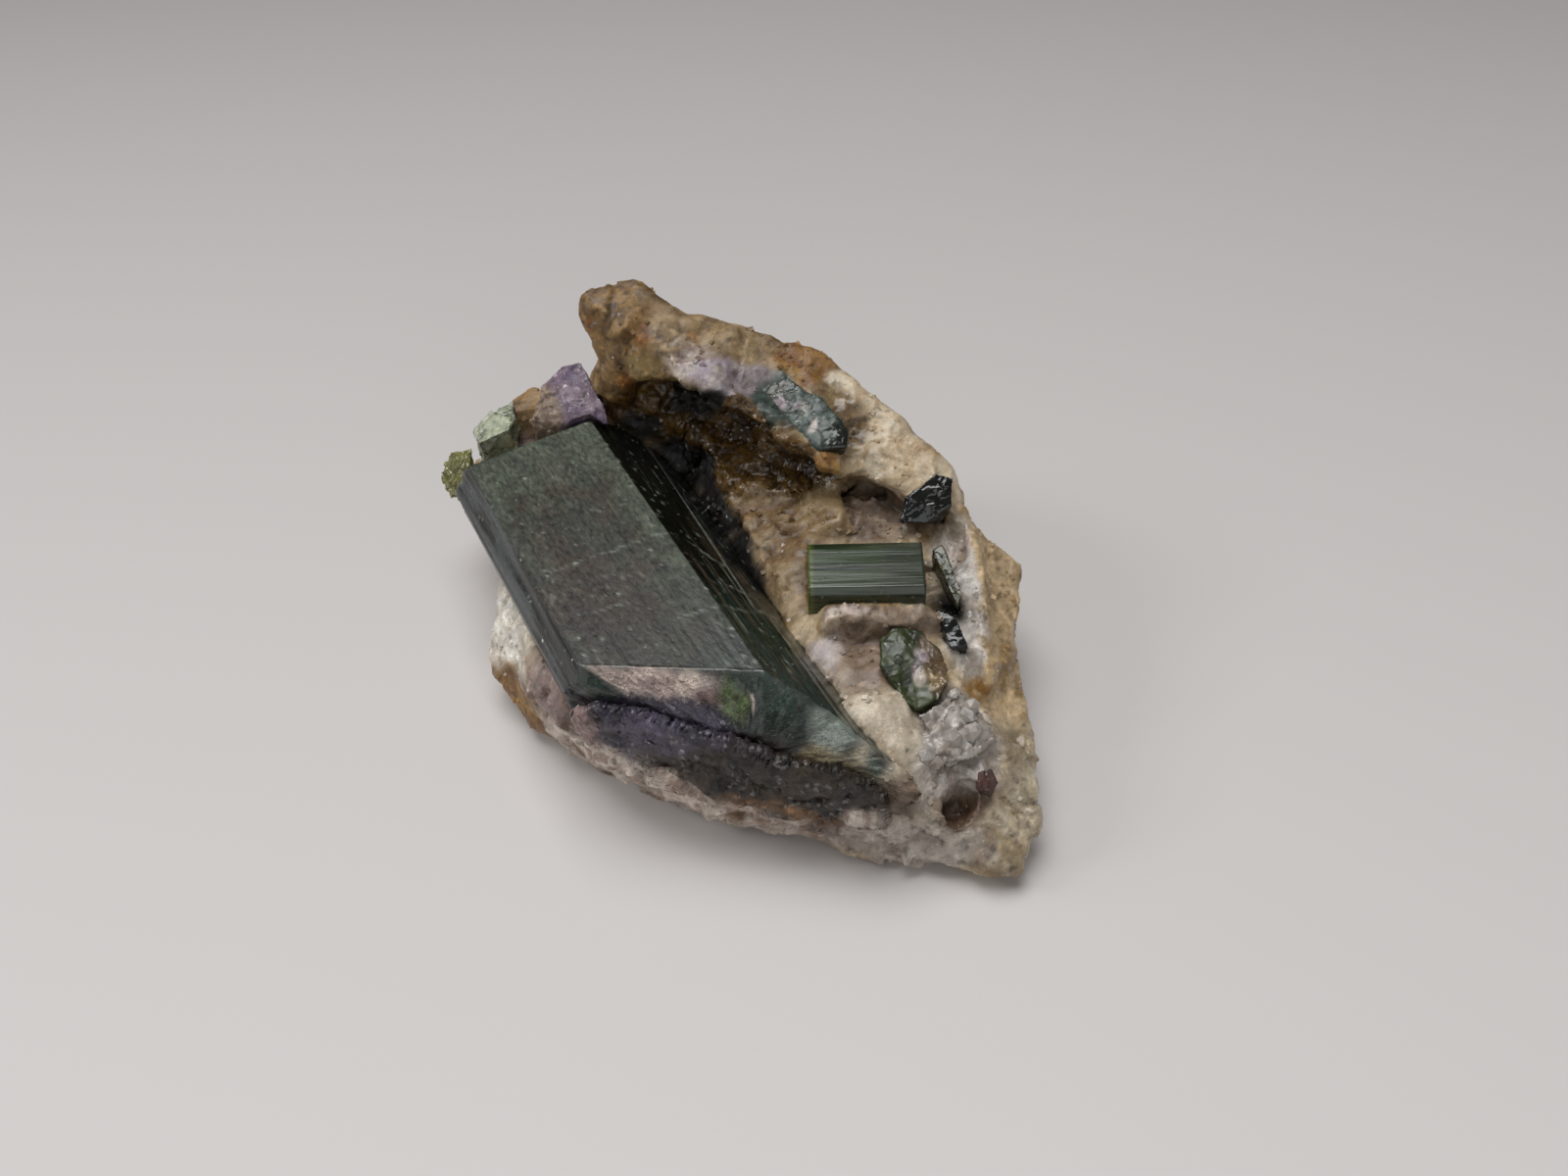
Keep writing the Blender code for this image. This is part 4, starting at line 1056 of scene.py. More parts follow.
@dataclass
class Rock:
    """The block of broken pegmatite, as a lower body and a crest that overlap inside."""

    split: float = 8.3  # mm, height at which body and crest meet
    overlap: float = 0.5  # mm
    body_face: float = 0.16  # mm
    crest_face: float = 0.125  # mm
    snug: float = 0.42  # mm of gap that is closed round a crystal
    calm: float = 1.0  # mm from a crystal within which the pull and the calm die out
    tuck: float = 0.05  # mm that it reaches under a crystal's skin
    swell: float = 0.05  # mm of broad swells
    sunk_level: float = 5.9  # mm, its height beside the long prism's dark side
    seed: int = 40

    def crystals_tree(self, nodes: dict[str, bpy.types.Object]) -> BVHTree:
        """Gathers the faces of all crystals.

        Args:
            nodes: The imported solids.

        Returns:
            A search tree in mm of the survey frame.
        """
        points: list[Vector] = []
        faces: list[tuple[int, ...]] = []
        for name in sorted(nodes):
            if name == "matrix":
                continue
            first = len(points)
            points += [Vector(p) for p in to_survey(nodes[name].data)]
            faces += [tuple(first + i for i in face.vertices) for face in nodes[name].data.polygons]
        return BVHTree.FromPolygons(points, faces)

    def open_side(self, points: np.ndarray) -> np.ndarray:
        """Sinks the rock beside the long prism's dark side, then forms the ledge, hollow and pit.

        Args:
            points: The rock's vertices in mm.

        Returns:
            The moved vertices.
        """
        along, across, _ = PRISM_SHAPE.axes()
        length, side = points @ along, points @ across
        edge = 1.3 - 0.085 * (length + 2.5) + 0.15 * noise(points, 0.9, 44, 2)
        reach = smooth_step(side, edge + 0.15, edge - 0.35) * smooth_step(side, -1.6, -1.0)
        reach *= smooth_step(length, -9.0, -7.5) * smooth_step(length, 7.2, 5.6)
        reach *= smooth_step(points[:, 2], 9.4, 8.8)
        sunk = points.copy()
        sunk[:, 2] -= reach * np.maximum(points[:, 2] - self.sunk_level, 0.0)
        for push in PUSHES:
            sunk = push.apply(sunk)
        return sunk

    def close_gaps(self, points: np.ndarray, tree: BVHTree) -> tuple[np.ndarray, np.ndarray]:
        """Grows the rock on to the crystals, as it is grown tight round the real ones.

        Args:
            points: The rock's vertices in mm.
            tree: The crystals' faces.

        Returns:
            The moved vertices, and for each how much relief it may keep.
        """
        moved = points.copy()
        free = np.ones(len(points))
        for i, p in enumerate(points):
            place, normal, _, far = tree.find_nearest(Vector(p), self.calm)
            if place is None:
                continue
            free[i] = max(0.0, min(1.0, (far - self.snug) / (self.calm - self.snug)))
            pull = (1.0 - free[i]) ** 2
            moved[i] = p + pull * (np.array(place - normal * self.tuck) - p)
        return moved, free

    def build(
        self, nodes: dict[str, bpy.types.Object], finish: bpy.types.Material
    ) -> list[bpy.types.Object]:
        """Builds both halves of the rock.

        Args:
            nodes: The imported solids.
            finish: The rock's material.

        Returns:
            The lower body and the crest.
        """
        matrix = nodes["matrix"]
        low, high = [np.array(c) / MM - SURVEY_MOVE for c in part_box("matrix")]
        tree = self.crystals_tree(nodes)
        painter = Painter(Stone.CREAM_FELDSPAR, CREST_ZONES + FLANK_ZONES, seed=self.seed)
        far = 1.0
        halves = (
            ("rock_body", self.body_face, (-far, self.split * MM)),
            ("rock_crest", self.crest_face, ((self.split - self.overlap) * MM, far)),
        )
        made = []
        for name, face, (bottom, top) in halves:
            piece = solid_copy(matrix, (Vector((-far, -far, bottom)), Vector((far, far, top))))
            remesh(piece, face)
            write_points(piece.data, self.open_side(to_survey(piece.data)))
            remesh(piece, face)
            points, free = self.close_gaps(to_survey(piece.data), tree)
            write_points(piece.data, points)
            facing = normals_of(piece.data)
            relief, tint, rough = painter.coat(points)
            swell = self.swell * noise(points, 2.6, 71, 2)
            above_base = smooth_step(points[:, 2], 0.02, FLAT_BASE)
            keep = np.maximum(free * above_base, 0.15 * above_base)
            points = keep_in_box(points + facing * ((relief + swell) * keep)[:, None], low, high)
            write_points(piece.data, points)
            store(piece.data, "tint", tint)
            store(piece.data, "gloss", rough)
            piece.data.materials.append(finish)
            piece.name = piece.data.name = name
            made.append(piece)
        return made


# Striated prisms.


@dataclass
class Prism:
    """A tourmaline crystal: a straight prism with fine lines along it, cut off by break planes."""

    name: str
    node: str
    section: tuple[tuple[float, float], ...]  # mm across and up
    turn: float  # degrees from +X to the axis, seen from above
    centre: tuple[float, float, float]  # mm
    start: float  # mm along the axis
    end: float
    breaks: tuple[tuple[tuple[float, float, float], tuple[float, float, float]], ...] = ()
    across_face: float = 0.08  # mm
    along_face: float = 0.2  # mm
    groove: float = 0.05  # mm
    seed: int = 5

    def axes(self) -> tuple[np.ndarray, np.ndarray, np.ndarray]:
        """Works out the prism's own directions.

        Returns:
            The directions along, across and up.
        """
        angle = math.radians(self.turn)
        along = np.array((math.cos(angle), math.sin(angle), 0.0))
        return along, np.array((-along[1], along[0], 0.0)), np.array((0.0, 0.0, 1.0))

    def outline(self) -> tuple[np.ndarray, np.ndarray, np.ndarray]:
        """Walks round the section with small steps and slightly softened corners.

        Returns:
            Places across and up, the outward direction at each, and the distance walked in mm.
        """
        corners = np.array(self.section, float)
        steps = []
        for a, b in zip(corners, np.roll(corners, -1, axis=0)):
            count = max(2, int(np.linalg.norm(b - a) / self.across_face))
            steps.append(a + (b - a) * (np.arange(count) / count)[:, None])
        ring = np.concatenate(steps)
        ring = (np.roll(ring, 1, axis=0) + 2.0 * ring + np.roll(ring, -1, axis=0)) / 4.0
        tangent = np.roll(ring, -1, axis=0) - np.roll(ring, 1, axis=0)
        tangent /= np.linalg.norm(tangent, axis=1)[:, None]
        area = np.sum(ring[:, 0] * np.roll(ring[:, 1], -1) - np.roll(ring[:, 0], -1) * ring[:, 1])
        outward = np.stack([tangent[:, 1], -tangent[:, 0]], axis=1) * math.copysign(1.0, area)
        walked = np.concatenate([[0.0], np.cumsum(np.linalg.norm(np.diff(ring, axis=0), axis=1))])
        return ring, outward, walked

    def reach(self, ring: np.ndarray) -> tuple[np.ndarray, np.ndarray]:
        """Finds where the prism starts and ends above each place of its section.

        Args:
            ring: Places across and up in mm.

        Returns:
            The first and the last distance along the axis in mm.
        """
        along, across, up = self.axes()
        base = np.array(self.centre) + ring[:, :1] * across + ring[:, 1:] * up
        first = np.full(len(ring), self.start)
        last = np.full(len(ring), self.end)
        for place, facing in self.breaks:
            n = np.array(facing) / np.linalg.norm(facing)
            cut = ((np.array(place) - base) @ n) / (along @ n)
            if along @ n > 0:
                last = np.minimum(last, cut)
            else:
                first = np.maximum(first, cut)
        return first, np.maximum(last, first + 0.3)

    def build(self) -> tuple[bpy.types.Object, np.ndarray]:
        """Builds the closed crystal.

        Returns:
            The piece, and for each vertex the distance walked round the section, the distance along
            the axis, and how far in on an end it is.
        """
        along, across, up = self.axes()
        ring, outward, walked = self.outline()
        first, last = self.reach(ring)
        count = len(ring)
        rows = int((last - first).max() / self.along_face)
        caps = max(6, int(np.ptp(ring, axis=0).min() * 0.5 / (self.along_face * 0.8)))
        middle = ring.mean(axis=0)
        spots, grain = [], []
        for k in range(rows + 1):
            s = first + (last - first) * k / rows
            line = np.stack([walked, s, np.zeros(count)], axis=1)
            depth = self.groove * self.lines(line) * (1.0 - 0.7 * (outward[:, 1] > 0.9))
            flat = ring + outward * depth[:, None]
            spots.append(np.concatenate([flat, s[:, None]], axis=1))
            grain.append(line)
        for side in (-1, 1):
            for k in range(1, caps + 1):
                flat = middle + (ring - middle) * (1.0 - k / caps)
                near, far = self.reach(flat)
                s = near if side < 0 else far
                inward = np.full(count, float(k) * self.along_face)
                kept = count if k < caps else 1  # the last ring is one vertex
                spots.append(np.concatenate([flat, s[:, None]], axis=1)[:kept])
                grain.append(np.stack([walked, s, inward], axis=1)[:kept])
        places = np.concatenate(spots)
        grain_all = np.concatenate(grain)
        points = (
            np.array(self.centre) + places[:, :1] * across + places[:, 1:2] * up + places[:, 2:] * along
        )
        faces = self.faces(count, rows, caps)
        mesh = bpy.data.meshes.new(self.name)
        mesh.from_pydata([tuple(p) for p in (points + SURVEY_MOVE) * MM], [], faces)
        bm = bmesh.new()
        bm.from_mesh(mesh)
        bmesh.ops.recalc_face_normals(bm, faces=bm.faces)
        bm.to_mesh(mesh)
        bm.free()
        store(mesh, "grain", grain_all)
        return new_piece(self.name, mesh), grain_all

    def lines(self, grain: np.ndarray) -> np.ndarray:
        """Works out the fine grooves along the prism.

        Args:
            grain: Distance round, distance along and depth into an end in mm.

        Returns:
            Relief from about -1 to 0.
        """
        slow = grain * np.array((1.0, 0.045, 0.0))
        relief = noise(slow, 0.55, self.seed, 1) * 0.5 + noise(slow, 0.2, self.seed + 1, 1) * 0.35
        return np.minimum(relief - 0.45, 0.0)

    def faces(self, count: int, rows: int, caps: int) -> list[tuple[int, ...]]:
        """Lists the faces of sides and ends.

        Args:
            count: Vertices round the section.
            rows: Rows of faces along the sides.
            caps: Rings of faces on each end.

        Returns:
            Vertex numbers of each face.
        """
        here = np.arange(count)
        beside = np.roll(here, -1)
        row = np.stack([here, beside, beside + count, here + count], 1)
        sides = [row + k * count for k in range(rows)]
        found = [tuple(f) for f in np.concatenate(sides).tolist()]
        first = (rows + 1) * count
        for rim in (0, rows * count):
            outer = rim + here
            for k in range(1, caps):
                inner = first + here
                loop = np.stack([outer, np.roll(outer, -1), np.roll(inner, -1), inner], 1)
                found += [tuple(f) for f in loop.tolist()]
                outer = inner
                first += count
            hub = first
            found += [(a, b, hub) for a, b in zip(outer.tolist(), np.roll(outer, -1).tolist())]
            first += 1
        return found


MAIN_SECTION = (
    (-10.2, 9.5),
    (-3.2, 9.5),
    (-1.0, 7.9),
    (0.9, 5.4),
    (0.2, 3.6),
    (-9.4, 3.6),
    (-11.0, 6.3),
    (-11.15, 7.9),
)
MAIN_BREAKS = (
    ((-6.4, -10.7, 8.0), (-0.34, -0.94, 0.0)),
    ((-6.0, -10.2, 9.5), (-0.12, -0.75, 0.65)),
    ((-9.0, 5.6, 9.5), (-0.35, 0.75, 0.55)),
)
SMALL_SECTION = (
    (-1.75, 7.1),
    (-1.62, 8.25),
    (-1.4, 8.6),
    (1.0, 8.75),
    (1.5, 8.6),
    (1.9, 7.9),
    (1.6, 6.6),
    (-1.3, 6.4),
)
PRISM_SHAPE = Prism(
    "long_prism", "main_tourmaline", MAIN_SECTION, -66.8, (0.0, 0.0, 0.0), -8.8, 17.5, MAIN_BREAKS
)
# Cracks that cross the broad face: start, end, width and strength, in mm.
CRACKS = (
    ((-8.6, -4.2), (-2.3, -2.1), 0.07, 0.45),
    ((-7.3, -7.3), (-4.7, -6.6), 0.06, 0.4),
    ((-2.4, -7.8), (2.6, -6.3), 0.1, 0.6),
    ((-1.6, -2.4), (-0.1, -3.4), 0.08, 0.6),
    ((-0.6, -5.2), (1.6, -5.6), 0.07, 0.5),
    ((-6.6, -0.4), (-4.6, 0.2), 0.05, 0.3),
)
# What grows or lies on the broken front end of the long prism.
FRONT_ZONES = (
    Zone(Stone.CREAM_MICA, (-5.0, -10.4, 9.4), (1.0, 0.5, 0.3)),
    Zone(Stone.CREAM_MICA, (-4.0, -10.7, 9.2), (1.2, 0.6, 0.5)),
    Zone(Stone.CREAM_MICA, (-2.5, -11.0, 8.95), (1.4, 0.7, 0.6)),
    Zone(Stone.PINK_MICA, (-1.1, -11.6, 8.5), (0.7, 0.5, 0.5)),
    Zone(Stone.TONGUE_TOURMALINE, (-0.2, -12.0, 8.4), (0.6, 0.9, 0.8)),
    Zone(Stone.CREAM_MICA, (0.55, -12.1, 8.5), (0.13, 0.5, 0.5)),
    Zone(Stone.TEAL_END, (1.6, -12.4, 8.3), (1.6, 1.8, 1.5)),
    Zone(Stone.CLOUDY_END, (4.2, -12.9, 7.7), (1.2, 1.5, 1.1)),
    Zone(Stone.TAN_END, (3.7, -14.1, 6.4), (1.6, 1.0, 0.6)),
    Zone(Stone.TEAL_END, (5.9, -14.6, 6.6), (0.5, 0.7, 0.7)),
    Zone(Stone.RIM_BROWN, (3.2, -12.2, 8.0), (0.25, 0.4, 0.3)),
    Zone(Stone.TEAL_END, (-6.0, -10.6, 8.6), (0.8, 0.6, 0.7)),
    Zone(Stone.CREAM_BLOCK, (7.0, -13.2, 6.2), (1.5, 2.2, 2.0)),
    Zone(Stone.MAUVE_BED, (7.3, -15.6, 5.6), (1.3, 0.8, 1.2)),
    Zone(Stone.VIOLET_SEAM, (-5.2, -11.4, 7.6), (2.4, 1.2, 1.2)),
    Zone(Stone.VIOLET_SEAM, (-2.6, -12.3, 7.4), (2.4, 1.2, 1.0)),
    Zone(Stone.DARK_SEAM, (0.6, -13.6, 6.6), (2.2, 1.0, 0.8)),
)


@dataclass
class LongPrism:
    """The long dark green prism that carries the specimen's look."""

    shape: Prism
    broad: str = "#33362A"
    pale: str = "#454D3F"
    frost: str = "#8E968A"
    brown: str = "#30271D"
    olive: str = "#292617"
    # Left face: slate grey with a painted reflection of the sky.
    slate_and_sky_reflection: str = "#363C3C"
    # Near-black of the glossy crystal; on the right side it is partly painted shade under the crest.
    dark: str = "#0D100C"
    # Painted highlights: the fine bright lines along the dark right side.
    lines: str = "#717C6E"
    green: str = "#222E25"
    teal: str = "#22322B"

    def broad_face(
        self, points: np.ndarray, streak: np.ndarray, side: np.ndarray, length: np.ndarray
    ) -> np.ndarray:
        """Colours the broad face: clouded green over brown, scratched and frosted.

        Args:
            points: Places in mm.
            streak: Places in which the pattern is drawn out along the crystal.
            side: Distance across in mm.
            length: Distance along in mm.

        Returns:
            Linear colours.
        """
        cloud = marble(points, 2.6, 83)
        wisp = marble(points, 0.8, 87)
        hair = noise(streak, 0.12, 81, 2)
        tint = blend(linear(self.broad), linear(self.brown), smooth_step(cloud + 0.4 * wisp, -0.35, 0.5))
        at_back = smooth_step(length + 1.2 * cloud, -3.0, -7.5)
        by_edge = smooth_step(side + 0.6 * wisp, -5.4, -3.4) * smooth_step(length, 8.5, 5.0)
        front_left = smooth_step(length + cloud, 4.0, 8.0) * smooth_step(side, -3.2, -5.5)
        at_front = smooth_step(length + side * 0.7 + cloud, 3.6, 7.2)
        tint = blend(tint, linear(self.pale), 0.9 * at_back)
        tint = blend(tint, linear(self.pale), 0.7 * by_edge)
        tint = blend(tint, linear(self.olive), 0.8 * front_left)
        tint = blend(tint, linear(self.teal), 0.85 * at_front)
        shade = 1.0 + 0.12 * hair + 0.4 * noise(points, 0.24, 88, 3) + 0.5 * wisp
        shade *= 1.0 - 0.25 * smooth_step(length, 1.0, 7.0)
        tint = tint * np.maximum(shade, 0.1)[:, None]
        corner = smooth_step(side + 10.2 + 0.5 * (7.3 - length), 1.1, 0.6)
        tint = blend(tint, linear(self.dark), 0.9 * corner)
        worn = smooth_step(marble(points, 1.7, 97), 0.0, 0.7)
        scratch = smooth_step(noise(streak, 0.11, 90, 1) + 0.6 * wisp, 0.7, 1.3)
        net = smooth_step(np.abs(marble(points, 1.1, 98)), 0.06, 0.0) * worn
        return blend(tint, linear(self.frost), np.maximum(0.26 * scratch * worn, 0.16 * net))

    def cracks(self, points: np.ndarray) -> np.ndarray:
        """Draws the healed cracks that cross the crystal.

        Args:
            points: Places in mm.

        Returns:
            How strongly a crack shows at each place, from 0 to 1.
        """
        shown = np.zeros(len(points))
        bend = 0.2 * noise(points, 0.8, 91, 3)
        patchy = smooth_step(noise(points, 0.5, 93, 2), -0.5, 0.3)
        for start, end, width, strength in CRACKS:
            a, b = np.array(start), np.array(end)
            reach = np.linalg.norm(b - a)
            way = (b - a) / reach
            rel = points[:, :2] - a
            t = rel @ way
            off = np.abs(rel[:, 0] * way[1] - rel[:, 1] * way[0] + bend)
            inside = smooth_step(t, -0.4, 0.3) * smooth_step(t, reach + 0.4, reach - 0.3)
            line = strength * inside * smooth_step(off, width, 0.0)
            shown = np.maximum(shown, line * (0.4 + 0.6 * patchy))
        return shown

    def specks(self, points: np.ndarray, side: np.ndarray) -> np.ndarray:
        """Scatters small white flecks, thickest along the edge between broad and dark side.

        Args:
            points: Places in mm.
            side: Distance across in mm.

        Returns:
            How strongly a fleck shows at each place, from 0 to 1.
        """
        near, _, number, _ = grains(points, 0.42, 94)
        edge = smooth_step(np.abs(side + 3.1), 1.6, 0.0)
        crowd = 0.86 - 0.2 * edge - 0.1 * noise(points, 1.6, 95, 2)
        return smooth_step(near, 0.34, 0.12) * smooth_step(number, crowd, crowd + 0.06)

    def bare(
        self, points: np.ndarray, facing: np.ndarray, grain: np.ndarray
    ) -> tuple[np.ndarray, np.ndarray]:
        """Colours the faces: broad top, slate left with painted reflection, dark right with painted shade.

        Args:
            points: Places in mm.
            facing: Direction in which the surface faces at each place.
            grain: Distance round, distance along and depth into an end, for each place.

        Returns:
            Linear colours and roughness.
        """
        along, across, _ = self.shape.axes()
        side, length = points @ across, points @ along
        streak = grain * np.array((1.0, 0.2, 0.3))
        hair = noise(grain * np.array((1.0, 0.03, 0.3)), 0.12, 81, 2)
        band = noise(streak, 0.5, 82, 2)
        cloud = marble(points, 2.0, 89)
        broad = self.broad_face(points, streak, side, length)
        patches = smooth_step(0.9 * band + 0.5 * hair + 0.5 * cloud, 0.0, 0.5)
        # Left face: slate with a painted sky reflection, patched with near-black.
        left = blend(linear(self.slate_and_sky_reflection), linear(self.dark), patches)
        rim = smooth_step(points[:, 2] + 0.25 * cloud, 8.5, 8.9) * smooth_step(length, -3.0, 0.5)
        left = blend(left, linear(self.dark), 0.95 * rim)
        green_end = smooth_step(length + 1.6 * cloud, 2.5, 8.5)
        teal_end = smooth_step(length + 1.2 * cloud, 9.0, 12.5)
        # Right side: near-black, partly painted shade, turning green and then teal towards the front.
        dark = blend(linear(self.dark), linear(self.green), 0.8 * green_end)
        dark = blend(dark, linear(self.teal), 0.7 * teal_end)
        # Painted highlights: bright fine lines along the dark side.
        dark = blend(dark, linear(self.lines), 0.7 * smooth_step(hair, 0.85, 1.15))
        to_right = smooth_step(facing @ across, 0.25, 0.45)
        to_left = smooth_step(facing @ across, -0.25, -0.45)
        tint = blend(blend(broad, dark, to_right), left, to_left)
        rough = 0.36 - 0.24 * to_right - 0.06 * to_left + 0.06 * hair
        healed = np.abs(side + 1.1 + 0.05 * length)
        pale = np.maximum(self.cracks(points), 0.8 * self.specks(points, side)) * (facing[:, 2] > 0.1)
        pale = np.maximum(pale, 0.75 * smooth_step(healed, 0.07, 0.0) * smooth_step(length, 7.0, 6.0))
        return blend(tint, linear(self.frost), pale), rough

    def paint(self, piece: bpy.types.Object, grain: np.ndarray) -> None:
        """Colours the crystal and lays the growths on its front end.

        Args:
            piece: The crystal.
            grain: Distance round, distance along and depth into an end, for each vertex.
        """
        points = to_survey(piece.data)
        facing = normals_of(piece.data)
        along, _, _ = self.shape.axes()
        length = points @ along
        on_end = grain[:, 2] > 0.0
        tint, rough = self.bare(points, facing, grain)
        band = noise(grain * np.array((1.0, 0.2, 0.3)), 0.5, 82, 2)
        cloud = marble(points, 2.0, 89)
        painter = Painter(Stone.TEAL_END, FRONT_ZONES, ground_pull=-0.4, wander=0.4, seed=60)
        relief, skin, skin_rough = painter.coat(points)
        # The rock's own skin covers the tip, and a pale line runs along its edge.
        past = points[:, 0] - 5.75 + 0.15 * (points[:, 1] + 12.4) + 0.12 * cloud
        cover = smooth_step(past, 0.0, 0.2) * smooth_step(length, 8.0, 9.0)
        grown = np.maximum(smooth_step(facing @ along + 0.12 * cloud, 0.2, 0.4), cover)
        tint = blend(tint, skin[:, :3], grown)
        rough = rough * (1.0 - grown) + skin_rough * grown
        edge_line = smooth_step(np.abs(past + 0.3 + 0.05 * band), 0.07, 0.0)
        edge_line *= smooth_step(length, 8.0, 9.5)
        tint = blend(tint, linear(self.frost), 0.8 * edge_line)
        shares = painter.shares(points)
        clean = sum(shares[stone] for stone in (Stone.TEAL_END, Stone.CLOUDY_END, Stone.TAN_END))
        rise = grown * relief + 0.1 * cover + on_end * 0.05 * noise(points, 0.6, 92, 2)
        points += facing * rise[:, None]
        low, high = [np.array(c) / MM - SURVEY_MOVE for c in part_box(self.shape.node)]
        write_points(piece.data, keep_in_box(points, low - 0.1, high + 0.05))
        store(piece.data, "tint", np.concatenate([tint, np.ones((len(tint), 1))], axis=1))
        store(piece.data, "gloss", np.clip(rough, 0.05, 0.95))
        store(piece.data, "bed", smooth_step(grown * (1.0 - clean), 0.5, 0.9))
        even = points * np.array((1.0, 8.0, 2.6))
        store(piece.data, "grain", np.where(on_end[:, None], even, grain))


@dataclass
class ShortPrism:
    """The small olive prism that lies in the hollow beside the long one."""

    shape: Prism
    body: str = "#2E3D25"
    streak: str = "#1C2517"
    bright: str = "#515C2A"
    shade: str = "#2D3428"

    def paint(self, piece: bpy.types.Object, grain: np.ndarray) -> None:
        """Colours the crystal.

        Args:
            piece: The crystal.
            grain: Distance round, distance along and depth into an end, for each vertex.
        """
        points = to_survey(piece.data)
        thread = grain * np.array((1.0, 0.05, 0.4))
        hair = noise(thread, 0.1, 84, 2)
        band = noise(thread, 0.35, 85, 2)
        threads = smooth_step(0.6 * hair + 0.6 * band, 0.0, 0.9)
        tint = blend(linear(self.body), linear(self.streak), threads)
        tint = blend(tint, linear(self.shade), 0.75 * smooth_step(grain[:, 1], 0.4, 1.2))
        at_left = smooth_step(grain[:, 1], self.shape.start + 0.35, self.shape.start + 0.1)
        tint = blend(tint, linear(self.bright), 0.9 * at_left)
        rough = 0.22 + 0.05 * hair
        points += normals_of(piece.data) * ((grain[:, 2] > 0) * 0.03 * noise(points, 0.4, 86, 2))[:, None]
        write_points(piece.data, points)
        store(piece.data, "tint", np.concatenate([tint, np.ones((len(tint), 1))], axis=1))
        store(piece.data, "gloss", np.clip(rough, 0.05, 0.95))


# Smaller crystals.


@dataclass
class Lump:
    """A smaller crystal or grain cluster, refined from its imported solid."""

    name: str
    node: str
    slot: str
    painter: Painter
    face: float = 0.07  # mm
    grow: float = 0.0  # mm that it swells into the gap round it

    def build(self, nodes: dict[str, bpy.types.Object], finish: bpy.types.Material) -> bpy.types.Object:
        """Builds the crystal.

        Args:
            nodes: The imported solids.
            finish: Its material.

        Returns:
            The finished piece.
        """
        piece = solid_copy(nodes[self.node])
        remesh(piece, self.face)
        points = to_survey(piece.data)
        facing = normals_of(piece.data)
        relief, tint, rough = self.painter.coat(points)
        swell = 0.05 * noise(points, 0.8, 73, 2) + self.grow
        write_points(piece.data, points + facing * (relief + swell)[:, None])
        store(piece.data, "tint", tint)
        store(piece.data, "gloss", rough)
        piece.data.materials.append(finish)
        piece.name = piece.data.name = self.name
        hand_over(piece, (self.node,))
        return piece


